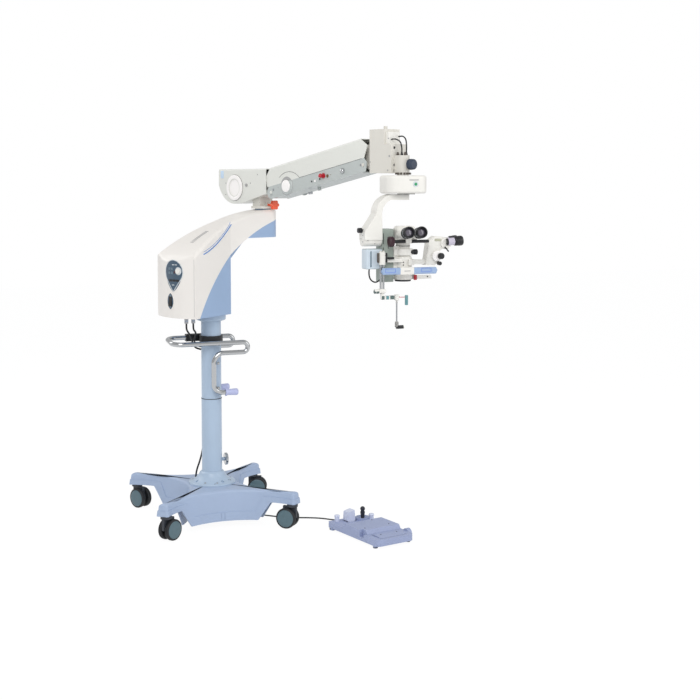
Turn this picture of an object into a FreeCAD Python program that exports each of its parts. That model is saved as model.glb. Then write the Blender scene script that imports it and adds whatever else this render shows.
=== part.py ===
import FreeCAD, Part
import math
import os
import Sketcher

Vector = FreeCAD.Vector

SIZES = {
    # fits
    "gap": 0.3,
    "running_fit": 0.05,
    "pivot_play": 1.0,

    # rolling base: an X-shaped moulded cover over a steel frame
    "cover_half_length": 372, "cover_half_width": 384,
    "nose_length": 60, "nose_width": 50,
    "mitre_end_x": 1.976, "mitre_end_y": 1.507, "mitre_nose_x": 0.245, "mitre_nose_y": 0.345,
    "front_waist": 210, "side_waist": 138,
    "cover_bottom": 30, "cover_top": 180, "cover_end_top": 178, "cover_reach": 520,
    "cover_flat_radius": 140, "cover_wall": 4, "cover_draft": 3.5,
    "arch_low_radius": 176, "arch_high_radius": 112, "arch_top": 120,
    "frame_bottom": 120, "frame_thick": 20, "frame_arm_width": 34, "frame_arm_inside": 10,
    "hub_plate_radius": 96,
    "hub_plate_top": 158, "socket_radius": 13,
    "gland_x": 118, "gland_y": -12, "gland_z": 44, "gland_radius": 9, "gland_length": 22,
    "gland_post": 12,

    # casters
    "caster_x": 316, "caster_y": 346, "caster_trail": 26, "wheel_radius": 51,
    "wheel_width": 23, "wheel_space": 20, "tyre_round": 7, "hub_radius": 33, "hub_recess": 2,
    "axle_radius": 6, "stem_radius": 8, "fork_plate": 16, "fork_head_radius": 27,
    "fork_head_height": 12, "fork_web_radius": 30, "fork_brow": 22,

    # column
    "column_radius": 51, "upper_column_radius": 50, "column_wall": 6, "column_seam": 614,
    "column_top": 1018, "collar_radius": 75, "collar_height": 22, "collar_round": 7,
    "spindle_radius": 30, "spindle_height": 180,
    "flange_low": 178, "flange_rim": 6, "flange_radius": 118, "flange_rise": 64,
    "flange_neck_radius": 62, "screw_ring": 92, "screw_recess": 8, "screw_sink": 6,
    "hook_height": 294, "hook_stem_radius": 9, "hook_stem": 16, "hook_head_radius": 30,
    "hook_head": 12,

    # push rail
    "rail_radius": 12, "rail_height": 900, "rail_rear_height": 915,
    "rail_rear_right": 112, "rail_front": -83, "rail_rear": 83,
    "rail_left": -213, "rail_right": 143, "rail_corner": 50, "rail_drop": 50,
    "rail_leg_x": -8, "rail_hook_height": 651, "rail_hook_bend": 42, "rail_tip": 54,
    "grip_radius": 17, "grip_start": 38, "grip_length": 66,
    "clamp_left": -112, "clamp_right": 52, "clamp_height": 36, "clamp_depth": 34, "clamp_neck": 36,
    "clamp_band": 9,

    # foot switch
    "pedal_x": 621, "pedal_y": -610, "pedal_yaw": 13, "pedal_half_width": 108,
    "pedal_half_length": 216, "pedal_corner": 26, "pedal_low": 12, "pedal_deck": 40,
    "pedal_block": 62, "pedal_block_front": -104, "pedal_block_rear": 66,
    "pedal_front_deck": 44, "pedal_notch": 20, "pedal_notch_length": 34,
    "foot_radius": 13, "foot_inset_x": 14, "foot_inset_y": 34,
    "stick_x": 54, "stick_y": 139, "stick_radius": 12, "stick_height": 60, "stick_cap": 16,
    "stick_boot_radius": 36, "stick_boot": 14, "stick_hollow": 26,
    "rocker_x": -12, "rocker_y": 160, "rocker_half": 22, "rocker_height": 62, "rocker_lift": 0.7,
    "button_radius": 12, "button_height": 34, "button_head_radius": 15,
    "left_button_x": -68, "left_button_y": 184, "right_button_x": 88, "right_button_y": 112,
    "button_travel": 4, "treadle_half_width": 74, "treadle_front": -198,
    "treadle_rear": -116, "treadle_top": 52, "treadle_thick": 10, "bumper_radius": 22,
    "bumper_y": -150, "bumper_length": 22, "cord_radius": 3.5,
    "pedal_cord_x": -20, "pedal_cord_z": 22, "pedal_gland": 16,

    # lamp and power housing on the column
    "housing_yaw": 24, "housing_low": 1040, "neck_reach": 355,
    "rear_corner": -215, "rear_bevel": -240, "rear_bevel_half": 88, "rear_bulge_radius": 266,
    "housing_half_width": 152, "waist_reach": 70, "waist_half_width": 75,
    "neck_half_width": 64, "housing_rear": -262, "housing_rear_top": 1312,
    "brow_reach": -222, "brow_height": 1346, "housing_top_radius": 1080,
    "housing_top": 1568, "housing_end": 424, "shell_foot": -180, "shell_arch_radius": 980,
    "shell_arch_end": 1520, "neck_low": 1420, "neck_start": 178, "spine_half_width": 44,
    "shell_round": 16,
    "panel_depth": 3, "panel_proud": 1.5, "panel_y": -28, "switch_y": -6, "panel_height": 1266,
    "panel_radius": 57, "panel_tip": 1171,
    "switch_height": 1122, "switch_half_width": 24, "switch_half_height": 39,
    "dial_radius": 13, "dial_depth": 14, "dial_y": -62, "dial_z": 1272,
    "rocker_plate_half": 12, "rocker_plate_height": 24,
    "socket_x": -172, "socket_y": -22, "second_socket_x": -140, "second_socket_y": -36,
    "plug_radius": 9, "plug_length": 32, "lead_radius": 4.5,

    # balanced arm
    "arm_yaw": -69, "turntable_radius": 64, "turntable_top": 1580, "turntable_low": 1568,
    "hub_half_width": 40, "hub_rear": 40, "hub_front": 24,
    "box_rear": -308, "box_front": 99, "box_top": 1774, "box_half_width": 62,
    "box_front_low": 1645, "box_mid_reach": -107, "box_mid_low": 1596, "box_round_reach": -178,
    "box_rear_low": 1690, "box_round_radius": 150, "box_edge_round": 8,
    "pocket_reach": 55, "pocket_low": 1662, "box_wall": 4,
    "disc_reach": -165, "disc_height": 1676, "disc_radius": 67, "disc_thick": 6,
    "disc_dish_radius": 44, "disc_dish": 4,
    "lower_pivot_x": 137.6, "lower_pivot_z": 1653, "arm_tilt": 10.73, "beam_length": 706,
    "rod_offset": 75, "lug_inner": 14, "lug_thick": 8, "lug_radius": 20, "pivot_pin": 8,
    "rod_pin": 6, "rod_half_width": 12, "rod_eye_radius": 14, "rod_half_height": 9,
    "beam_half_width": 57, "beam_wall": 4, "beam_seam": 31, "beam_low": -33,
    "beam_top": 125, "cover_nose_x": 16, "cover_heel_x": -28, "cover_heel_z": 85,
    "cover_tail_x": 707, "cover_tip_x": 750, "cover_tip_z": 85, "seam_tail_x": 716,
    "channel_tip_x": 732, "channel_tip_z": 8, "floor_start": 6, "floor_end": 688,
    "boss_x": 130, "boss_z": 29, "boss_radius": 46, "boss_height": 5, "boss_cap_radius": 30,
    "boss_cap": 5, "lift_knob_x": 418, "lift_knob_z": 4, "lift_knob_radius": 11,
    "lift_knob_ring": 13, "lift_knob_stem": 12, "side_dome_x": 556, "side_dome_radius": 11,
    "under_knob_x": 310, "under_knob_radius": 9, "under_knob_height": 16,
    "lock_knob_radius": 23, "lock_knob_thick": 16, "lock_knob_stem": 26,
    "lock_knob_stem_radius": 6, "lock_lobe_radius": 9,

    # end of the arm
    "bracket_near": 863, "bracket_far": 1012, "bracket_half_width": 50,
    "bracket_low": 1745, "bracket_top": 1948, "bracket_round": 7, "head_reach": 1040,
    "swivel_boss_radius": 30, "swivel_boss_top": 1826, "swivel_bore": 14,
    "hood_near": 966, "hood_far": 984, "hood_half_width": 38, "hood_top": 1934,
    "hood_low": 1878, "hood_round": 8, "fitting_radius": 9, "fitting_height": 15,
    "brake_knob_radius": 24, "brake_knob_thick": 22, "brake_stem": 16,
    "brake_stem_radius": 7, "brake_height": 1784,

    # XY unit
    "xy_top": 1734, "xy_low": 1651, "xy_half_length": 98, "xy_half_depth": 80,
    "xy_corner": 46, "xy_round": 12, "xy_neck_radius": 27, "xy_wall": 6,
    "xy_floor_hole": 62, "reset_x": 28, "reset_z": 1694, "reset_radius": 7,
    "reset_depth": 12, "reset_proud": 3, "slide_plate_half": 40, "slide_plate_thick": 12,
    "slide_plate_z": 1672,

    # gooseneck
    "neck_plate_top": 1648, "neck_plate_low": 1622, "neck_plate_right": 16,
    "neck_depth": 36, "neck_bend_x": -58, "shoulder_x": -146, "shoulder_z": 1560,
    "elbow_x": -190, "elbow_z": 1495, "shank_left": -202, "shank_right": -116,
    "shank_inner_x": -118, "shank_inner_z": 1560, "inner_bend_x": -76, "tilt_z": 1441,
    "tilt_boss_radius": 30, "neck_post_radius": 24,
    "tilt_knob_radius": 11, "tilt_knob_thick": 18, "tilt_knob_z": 1484,
    "tilt_shaft_radius": 10,

    # focus unit and microscope body
    "plate_left": -112, "plate_right": -56, "plate_front": -22, "plate_rear": 52,
    "plate_low": 1246, "plate_top": 1490, "plate_slot_depth": 16,
    "cable_box_left": -190, "cable_box_right": -114, "cable_box_low": 1308,
    "cable_box_top": 1398, "cable_box_front": -26, "cable_box_rear": 34,
    "body_radius": 42, "body_low": 1313, "body_shoulder": 1352, "body_top": 1368,
    "turret_radius": 46, "turret_top": 1397, "turret_neck_radius": 33,
    "turret_neck_top": 1424, "carriage_half_depth": 20, "carriage_tongue": 14,
    "carriage_low": 1284, "carriage_top": 1410,
    "zoom_knob_radius": 10, "zoom_knob_length": 26, "zoom_x": 40, "zoom_z": 1383,
    "bar_half_length": 134, "bar_low": 1284, "bar_top": 1315, "bar_front": -86,
    "bar_thick": 20, "bar_mount_half": 30, "bar_round": 6,
    "lens_radius": 43, "lens_low": 1248, "lens_top": 1283, "lens_rim": 37,
    "lens_rim_height": 8, "lens_bore": 30, "lens_bore_depth": 10,
    "slit_right": 140, "slit_low": 1256, "slit_top": 1272,
    "slit_half_depth": 12, "lever_x": 58, "lever_half": 9, "lever_thick": 6,
    "lens_post_x": -122, "lens_post_y": -45, "lens_post_radius": 15, "lens_post_low": 1330,
    "lens_post_top": 1384, "twin_tube_radius": 4.5, "twin_tube_space": 7,
    "twin_tube_low": 1214, "clamp_block": 15, "clamp_block_height": 18,
    "clamp_knob_radius": 9, "clamp_knob_length": 24, "swing_z": 1178, "swing_reach": -49,
    "swing_half": 8, "drop_rod_radius": 3.2, "drop_rod_low": 1052, "lens_tip": 38,
    "lens_tip_radius": 8, "swing_pin": 5, "grip_rod_length": 37, "lens_grip_radius": 7,
    "lens_grip_length": 44,

    # surgeon's and assistant's binoculars
    "bino_half_width": 46, "bino_front": -62,
    "bino_rear": 22, "bino_low": 1437, "bino_top": 1503, "bino_round": 14,
    "bino_foot_radius": 32, "eye_space": 62, "eye_tilt": 9, "eye_start_y": -34,
    "eye_z": 1460, "eye_tube_radius": 20, "eye_tube_length": 74, "eye_cup_radius": 27,
    "eye_cup_length": 46, "eye_bore": 15, "eye_bore_depth": 12, "ipd_z": 1433,
    "ipd_y": -60, "ipd_radius": 7, "ipd_left": -76, "ipd_right": 102,
    "ipd_knob_radius": 22, "ipd_knob_thick": 20,
    "aide_near": 104, "aide_foot": 150, "aide_low": 1320,
    "aide_side_top": 1430, "aide_top": 1454, "aide_corner": 152, "aide_far": 196,
    "aide_far_top": 1450, "aide_cheek_z": 1384, "aide_half_width": 24,
    "aide_disc_x": 160, "aide_disc_z": 1362, "aide_disc_radius": 24, "aide_disc": 6,
    "aide_knob_radius": 13, "aide_knob": 22, "aide_pivot_x": 206, "aide_pivot_z": 1420,
    "prism_radius": 27, "prism_half_width": 30, "aide_tilt": 4, "aide_eye_space": 56,
    "aide_tube_radius": 17, "aide_tube_length": 44, "aide_cup_radius": 23,
    "aide_cup_length": 38,
}

doc = FreeCAD.newDocument("SurgicalMicroscope")
sheet = doc.addObject("Spreadsheet::Sheet", "Sizes")


def text_of(item):
    return item.formula if isinstance(item, Size) else f"({float(item)!r})"


def number_of(item):
    return item.number if isinstance(item, Size) else float(item)


class Size:
    """A length that keeps the sheet formula it was worked out with."""

    def __init__(self, formula, number):
        self.formula = formula
        self.number = number

    def joined(self, first, sign, second, number):
        return Size(f"({text_of(first)} {sign} {text_of(second)})", number)

    def __add__(self, other):
        return self.joined(self, "+", other, self.number + number_of(other))

    def __radd__(self, other):
        return self.joined(other, "+", self, number_of(other) + self.number)

    def __sub__(self, other):
        return self.joined(self, "-", other, self.number - number_of(other))

    def __rsub__(self, other):
        return self.joined(other, "-", self, number_of(other) - self.number)

    def __mul__(self, other):
        return self.joined(self, "*", other, self.number * number_of(other))

    def __rmul__(self, other):
        return self.joined(other, "*", self, number_of(other) * self.number)

    def __truediv__(self, other):
        return self.joined(self, "/", other, self.number / number_of(other))

    def __neg__(self):
        return Size(f"(-{self.formula})", -self.number)


class SizeSheet:
    """The driving dimensions by name, each one a cell of the sheet."""


S = SizeSheet()
for row, (alias, number) in enumerate(SIZES.items(), start=1):
    sheet.set(f"A{row}", alias)
    sheet.set(f"B{row}", str(number))
    sheet.setAlias(f"B{row}", alias)
    setattr(S, alias, Size(f"Sizes.{alias}", float(number)))
doc.recompute()

nodes = {}


def bind(item, prop, value):
    """Tie a property to the sheet, or set it where it is a plain number."""
    if isinstance(value, Size):
        item.setExpression(prop, value.formula)
    else:
        setattr(item, prop, value)


TURNS = {
    "z": FreeCAD.Rotation(),
    "-z": FreeCAD.Rotation(Vector(1, 0, 0), 180),
    "x": FreeCAD.Rotation(Vector(0, 1, 0), 90),
    "-x": FreeCAD.Rotation(Vector(0, 1, 0), -90),
    "y": FreeCAD.Rotation(Vector(1, 0, 0), -90),
    "-y": FreeCAD.Rotation(Vector(1, 0, 0), 90),
}


def move(item, x, y, z, turn=None):
    """Put a child shape at a place worked out from the sheet."""
    rotation = turn if turn is not None else FreeCAD.Rotation()
    item.Placement = FreeCAD.Placement(Vector(number_of(x), number_of(y), number_of(z)), rotation)
    for path, value in (("x", x), ("y", y), ("z", z)):
        if isinstance(value, Size):
            item.setExpression(f"Placement.Base.{path}", value.formula)
    return item


def box(x0, x1, y0, y1, z0, z1):
    item = doc.addObject("Part::Box", "Box")
    bind(item, "Length", x1 - x0)
    bind(item, "Width", y1 - y0)
    bind(item, "Height", z1 - z0)
    return move(item, x0, y0, z0)


def rod(axis, x, y, z, radius, length):
    """A round bar that starts at a point and runs along an axis."""
    item = doc.addObject("Part::Cylinder", "Rod")
    bind(item, "Radius", radius)
    bind(item, "Height", length)
    return move(item, x, y, z, TURNS[axis])


def cone(axis, x, y, z, radius, far_radius, length):
    item = doc.addObject("Part::Cone", "Cone")
    bind(item, "Radius1", radius)
    bind(item, "Radius2", far_radius)
    bind(item, "Height", length)
    return move(item, x, y, z, TURNS[axis])


def ball(x, y, z, radius):
    item = doc.addObject("Part::Sphere", "Ball")
    bind(item, "Radius", radius)
    return move(item, x, y, z)


def fuse(*items):
    if len(items) == 1:
        return items[0]
    item = doc.addObject("Part::MultiFuse", "Fuse")
    item.Shapes = list(items)
    item.Refine = True
    return item


def cut(base, *tools):
    item = doc.addObject("Part::Cut", "Cut")
    item.Base = base
    item.Tool = fuse(*tools)
    item.Refine = True
    return item


def common(first, second):
    item = doc.addObject("Part::Common", "Common")
    item.Base = first
    item.Tool = second
    item.Refine = True
    return item


def group(*items):
    """Separate solids that make one node."""
    item = doc.addObject("Part::Compound", "Group")
    item.Links = list(items)
    return item


def rounded(base, radius, chosen):
    """Round the edges that the chosen test picks."""
    doc.recompute()
    picked = [index for index, edge in enumerate(base.Shape.Edges, start=1) if chosen(edge)]
    item = doc.addObject("Part::Fillet", "Round")
    item.Base = base
    item.Edges = [(index, number_of(radius), number_of(radius)) for index in picked]
    return item


def edge_box(edge):
    box_of = edge.BoundBox
    return box_of.XMin, box_of.XMax, box_of.YMin, box_of.YMax, box_of.ZMin, box_of.ZMax


def draw(sketch, outline):
    """Closed outline of (x, y) corners; a third number is the radius of the arc that leads there."""
    count = len(outline)
    ends = []
    for index in range(count):
        start, end = outline[index], outline[(index + 1) % count]
        p = Vector(number_of(start[0]), number_of(start[1]), 0)
        q = Vector(number_of(end[0]), number_of(end[1]), 0)
        if len(end) < 3:
            sketch.addGeometry(Part.LineSegment(p, q), False)
            ends.append((1, 2, None))
            continue
        radius = number_of(end[2])
        chord = q - p
        normal = Vector(-chord.y, chord.x, 0).normalize()
        reach = math.sqrt(radius ** 2 - (chord.Length / 2) ** 2)
        centre = (p + q) * 0.5 + normal * (reach if radius > 0 else -reach)
        first, last = (p, q) if radius > 0 else (q, p)
        begin = math.atan2(first.y - centre.y, first.x - centre.x)
        finish = math.atan2(last.y - centre.y, last.x - centre.x)
        if finish < begin:
            finish += 2 * math.pi
        circle = Part.Circle(centre, Vector(0, 0, 1), abs(radius))
        sketch.addGeometry(Part.ArcOfCircle(circle, begin, finish), False)
        ends.append((1, 2, end[2]) if radius > 0 else (2, 1, end[2]))
    for index in range(count):
        following = (index + 1) % count
        here, there = ends[index], ends[following]
        sketch.addConstraint(
            Sketcher.Constraint("Coincident", index, here[1], following, there[0]))
        for kind, value in zip(("DistanceX", "DistanceY"), outline[index][:2]):
            place = sketch.addConstraint(
                Sketcher.Constraint(kind, -1, 1, index, here[0], number_of(value)))
            if isinstance(value, Size):
                sketch.setExpression(f"Constraints[{place}]", value.formula)
        radius = here[2]
        if radius is not None:
            place = sketch.addConstraint(
                Sketcher.Constraint("Radius", index, abs(number_of(radius))))
            if isinstance(radius, Size):
                formula = radius.formula if radius.number > 0 else (-radius).formula
                sketch.setExpression(f"Constraints[{place}]", formula)


def sketch_in(body, role, outline, offset=0.0):
    sketch = body.newObject("Sketcher::SketchObject", "Sketch")
    plane = [item for item in body.Origin.OriginFeatures if item.Role == role][0]
    sketch.AttachmentSupport = [(plane, "")]
    sketch.MapMode = "FlatFace"
    if isinstance(offset, Size):
        sketch.setExpression("AttachmentOffset.Base.z", offset.formula)
    else:
        sketch.AttachmentOffset = FreeCAD.Placement(Vector(0, 0, offset), FreeCAD.Rotation())
    draw(sketch, outline)
    return sketch


def pad(role, outline, low, high, taper=0.0):
    """A body: an outline on an origin plane, from low to high along the third axis."""
    body = doc.addObject("PartDesign::Body", "Body")
    offset = -high if role == "XZ_Plane" else low
    feature = body.newObject("PartDesign::Pad", "Pad")
    feature.Profile = sketch_in(body, role, outline, offset)
    bind(feature, "Length", high - low)
    bind(feature, "TaperAngle", taper)
    return body


def revolve(outline):
    """A body turned about the local Z axis from (radius, height) corners."""
    body = doc.addObject("PartDesign::Body", "Turned")
    sketch = sketch_in(body, "XZ_Plane", outline)
    feature = body.newObject("PartDesign::Revolution", "Revolution")
    feature.Profile = sketch
    feature.ReferenceAxis = (sketch, ["V_Axis"])
    feature.Angle = 360
    return body


def frame_at(x, y, z, yaw, tilt=0.0):
    return FreeCAD.Placement(Vector(x, y, z), FreeCAD.Rotation(yaw, -tilt, 0))


WORLD = frame_at(0, 0, 0, 0)
HOUSING = frame_at(0, 0, 0, S.housing_yaw.number)
NECK = HOUSING.multVec(Vector(S.neck_reach.number, 0, 0))
ARM = frame_at(NECK.x, NECK.y, 0, S.arm_yaw.number)
BEAM_START = ARM.multVec(Vector(S.lower_pivot_x.number, 0, S.lower_pivot_z.number))
BEAM = frame_at(BEAM_START.x, BEAM_START.y, BEAM_START.z, S.arm_yaw.number, S.arm_tilt.number)
BEAM_END = BEAM.multVec(Vector(S.beam_length.number, 0, 0))
HEAD_AXIS = ARM.multVec(Vector(S.head_reach.number, 0, 0))
HEAD = frame_at(HEAD_AXIS.x, HEAD_AXIS.y, 0, 0)
PEDAL = frame_at(S.pedal_x.number, S.pedal_y.number, 0, S.pedal_yaw.number)


def node(name, item, frame=WORLD):
    """Name a finished piece and carry it into the object's own frame."""
    item.Label = name
    item.Placement = frame.multiply(item.Placement)
    nodes[name] = item
    return item


def path_wire(points, radii):
    """Straight runs joined by tangent arcs, one radius for each inner point."""
    edges = []
    start = points[0]
    for index in range(1, len(points) - 1):
        before, here, after = points[index - 1], points[index], points[index + 1]
        way_in = (here - before).normalize()
        way_out = (after - here).normalize()
        half_turn = way_in.getAngle(way_out) / 2
        trim = radii[index - 1] * math.tan(half_turn)
        enter = here - way_in * trim
        leave = here + way_out * trim
        inward = (way_out - way_in).normalize()
        middle = here + inward * (radii[index - 1] / math.cos(half_turn) - radii[index - 1])
        edges.append(Part.LineSegment(start, enter).toShape())
        edges.append(Part.Arc(enter, middle, leave).toShape())
        start = leave
    edges.append(Part.LineSegment(start, points[-1]).toShape())
    return Part.Wire(edges)


def tube_along(wire, radius):
    first = wire.Edges[0]
    ahead = first.tangentAt(first.FirstParameter)
    ring = Part.Wire([Part.Circle(wire.Vertexes[0].Point, ahead, radius).toShape()])
    return wire.makePipeShell([ring], True, True)


def tube_feature(points, radii, radius):
    """A bent round bar or a cord, whose route neither a sketch nor a primitive can hold."""
    wire = path_wire(points, radii)
    item = doc.addObject("Part::Feature", "Tube")
    item.Shape = tube_along(wire, radius)
    ideal = math.pi * radius ** 2 * wire.Length
    print("tube", round(wire.Length, 1), "long, volume ratio", round(item.Shape.Volume / ideal, 4))
    return item


def cord_radii(points):
    """The largest arc that each corner of a cord's route leaves room for."""
    radii = []
    for index in range(1, len(points) - 1):
        before, here, after = points[index - 1], points[index], points[index + 1]
        turn = (here - before).getAngle(after - here)
        shorter = min((here - before).Length, (after - here).Length)
        radii.append(0.45 * shorter / math.tan(turn / 2))
    print("cord radii", [round(radius, 1) for radius in radii])
    return radii


def cover_outline(inset):
    """Plan of the base: four noses joined by concave arcs, shrunk by an inset."""
    half_x = S.cover_half_length - S.mitre_end_x * inset
    half_y = S.cover_half_width - S.mitre_end_y * inset
    nose_x = S.cover_half_length - S.nose_length + S.mitre_nose_x * inset
    nose_y = S.cover_half_width - S.nose_width + S.mitre_nose_y * inset
    front, side = S.front_waist - inset, S.side_waist - inset

    def waist_radius(half_chord, sag):
        return (half_chord * half_chord + sag * sag) / (2 * sag)

    long_arc = waist_radius(nose_x, half_y - front)
    short_arc = waist_radius(nose_y, half_x - side)
    return [
        (-nose_x, -half_y), (nose_x, -half_y, -long_arc),
        (half_x, -nose_y), (half_x, nose_y, -short_arc),
        (nose_x, half_y), (-nose_x, half_y, -long_arc),
        (-half_x, nose_y), (-half_x, -nose_y, -short_arc),
    ]


def cover_solid(inset, lowered, low):
    """The cover's outer or inner form: drafted skirt under a gently sloping top."""
    skirt = pad("XY_Plane", cover_outline(inset), low, S.cover_top + 2, -S.cover_draft)
    crown = revolve([
        (0.0, low), (S.cover_reach, low), (S.cover_reach, S.cover_end_top - lowered),
        (S.cover_flat_radius, S.cover_top - lowered), (0.0, S.cover_top - lowered)])
    return common(skirt, crown)


def base():
    outer = cover_solid(0.0, 0.0, S.cover_bottom)
    inner = cover_solid(S.cover_wall, S.cover_wall, S.cover_bottom - 1)
    arches = []
    for sign_x, sign_y in ((-1, -1), (1, -1), (1, 1), (-1, 1)):
        arches.append(cone("z", sign_x * S.caster_x, sign_y * S.caster_y, S.cover_bottom - 1,
                           S.arch_low_radius, S.arch_high_radius,
                           S.arch_top - S.cover_bottom + 1))
    column_hole = rod("z", 0, 0, 0, S.column_radius + S.gap, S.cover_top + S.flange_rise)
    cord_notch = box(S.side_waist - 20, S.side_waist + 20, S.gland_y - 12, S.gland_y + 12,
                     S.cover_bottom - 1, S.gland_z + 12)
    shell = cut(outer, inner, column_hole, cord_notch, *arches)
    doc.recompute()
    reach = S.cover_reach
    top = S.cover_top + 1
    for name, low, high in (("base_cover_front", -reach, -S.gap / 4),
                            ("base_cover_rear", S.gap / 4, reach)):
        node(name, common(shell, box(-reach, reach, low, high, 0, top)))

    frame_top = S.frame_bottom + S.frame_thick
    length = math.hypot(S.caster_x.number, S.caster_y.number)
    angle = math.degrees(math.atan2(S.caster_y.number, S.caster_x.number))
    arms = []
    for turn, side_on in ((angle, -1), (180 - angle, 1), (180 + angle, -1), (-angle, 1)):
        arm = doc.addObject("Part::Box", "Arm")
        arm.Length = length
        bind(arm, "Width", S.frame_arm_width)
        bind(arm, "Height", S.frame_thick)
        narrow, wide = S.frame_arm_inside.number, S.frame_arm_width.number
        start = -narrow if side_on > 0 else narrow - wide
        arm.Placement = frame_at(0, 0, 0, turn).multiply(FreeCAD.Placement(
            Vector(0, start, S.frame_bottom.number), FreeCAD.Rotation()))
        arms.append(arm)
    sockets = [rod("z", sx * S.caster_x, sy * S.caster_y, S.frame_bottom, S.socket_radius,
                   S.frame_thick)
               for sx, sy in ((-1, -1), (1, -1), (1, 1), (-1, 1))]
    bores = [rod("z", sx * S.caster_x, sy * S.caster_y, S.frame_bottom - 1,
                 S.stem_radius + S.running_fit, S.frame_thick + 2)
             for sx, sy in ((-1, -1), (1, -1), (1, 1), (-1, 1))]
    hub = rod("z", 0, 0, S.frame_bottom, S.hub_plate_radius,
              S.hub_plate_top - S.frame_bottom)
    half_post = S.gland_post / 2
    post = box(S.gland_x - S.gland_length, S.gland_x - S.gland_length + S.gland_post,
               S.gland_y - half_post, S.gland_y + half_post, S.gland_z, frame_top)
    rib = box(S.hub_plate_radius / 2, S.gland_x - S.gland_length + S.gland_post,
              S.gland_y - half_post, S.gland_y + half_post, S.frame_bottom, frame_top)
    gland = cone("x", S.gland_x - S.gland_length, S.gland_y, S.gland_z, S.gland_radius,
                 S.cord_radius + 1.5, S.gland_length)
    room = cover_solid(S.cover_wall + 0.5, S.cover_wall + 0.5, S.cover_bottom - 1)
    spider = common(fuse(*arms), room)
    node("base_frame", cut(fuse(spider, *sockets, hub, post, rib, gland), *bores))


def caster(name, sign_x, sign_y, heading):
    """A twin-wheel caster; its local X axis points from the stem to the axle."""
    frame = frame_at(sign_x * S.caster_x.number, sign_y * S.caster_y.number, 0, heading)
    head_low = S.frame_bottom - S.fork_head_height
    half_plate = S.fork_plate / 2
    half_space = S.wheel_space / 2
    head = rod("z", 0, 0, head_low, S.fork_head_radius, S.fork_head_height)
    stem = rod("z", 0, 0, S.frame_bottom - 1, S.stem_radius, S.frame_thick + 1)
    web = rod("y", S.caster_trail, -half_plate, S.wheel_radius + 1, S.fork_web_radius,
              S.fork_plate)
    neck = box(-S.fork_brow, S.caster_trail + S.fork_brow, -half_plate, half_plate,
               S.wheel_radius + 1, head_low + 1)
    bore = rod("y", S.caster_trail, -half_space, S.wheel_radius, S.axle_radius + S.running_fit,
               S.wheel_space)
    node(f"caster_fork_{name}", cut(fuse(head, stem, web, neck), bore), frame)

    outside = half_space + S.wheel_width
    rim = S.wheel_radius - S.tyre_round
    profile = [(0.0, -outside + S.hub_recess), (S.hub_radius, -outside + S.hub_recess),
               (S.hub_radius, -outside), (rim, -outside),
               (S.wheel_radius, -outside + S.tyre_round, S.tyre_round),
               (S.wheel_radius, -half_space - S.tyre_round),
               (rim, -half_space, S.tyre_round),
               (S.axle_radius, -half_space), (S.axle_radius, half_space),
               (rim, half_space), (S.wheel_radius, half_space + S.tyre_round, S.tyre_round),
               (S.wheel_radius, outside - S.tyre_round), (rim, outside, S.tyre_round),
               (S.hub_radius, outside), (S.hub_radius, outside - S.hub_recess),
               (0.0, outside - S.hub_recess)]
    wheels = revolve(profile)
    wheels.Placement = FreeCAD.Placement(
        Vector(S.caster_trail.number, 0, S.wheel_radius.number), TURNS["y"])
    node(f"caster_wheels_{name}", wheels, frame)


def column():
    tube = revolve([
        (S.column_radius - S.column_wall, S.hub_plate_top), (S.column_radius, S.hub_plate_top),
        (S.column_radius, S.column_seam), (S.column_radius - S.column_wall, S.column_seam)])
    hook_start = S.column_radius - S.column_wall / 2
    hook_end = S.column_radius + S.hook_stem
    hook = fuse(
        rod("x", hook_start, 0, S.hook_height, S.hook_stem_radius, hook_end - hook_start + 1),
        cone("x", hook_end, 0, S.hook_height, S.hook_head_radius - 4, S.hook_head_radius,
             S.hook_head / 2),
        cone("x", hook_end + S.hook_head / 2, 0, S.hook_height, S.hook_head_radius,
             S.hook_head_radius - 7, S.hook_head / 2))
    node("column_lower", fuse(tube, hook))

    inner = S.upper_column_radius - S.column_wall
    collar_low = S.column_top - S.collar_round
    top = S.housing_low
    node("column_upper", revolve([
        (inner, S.column_seam), (S.upper_column_radius, S.column_seam),
        (S.upper_column_radius, collar_low - S.collar_round),
        (S.collar_radius - S.collar_round, collar_low),
        (S.collar_radius, S.column_top, S.collar_round), (S.collar_radius, top),
        (S.spindle_radius, top), (S.spindle_radius, top + S.spindle_height),
        (0.0, top + S.spindle_height), (0.0, top - S.collar_height),
        (inner, top - S.collar_height)]))

    rim_top = S.flange_low + S.flange_rim
    neck_top = S.flange_low + S.flange_rise
    seat = S.column_radius + S.gap
    dome = revolve([
        (seat, S.cover_top), (S.flange_radius, S.cover_top), (S.flange_radius, rim_top),
        (S.flange_radius - 6, rim_top + 6, S.flange_rim),
        (S.flange_neck_radius, neck_top - 8, -(S.flange_rise + 12)),
        (seat + 2, neck_top), (seat, neck_top)])
    recesses = []
    for angle in (-70, 5, 110, 200):
        x = S.screw_ring * math.cos(math.radians(angle))
        y = S.screw_ring * math.sin(math.radians(angle))
        recesses.append(rod("z", x, y, rim_top + S.screw_sink, S.screw_recess, S.flange_rise))
    node("column_flange", cut(dome, *recesses))


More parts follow.
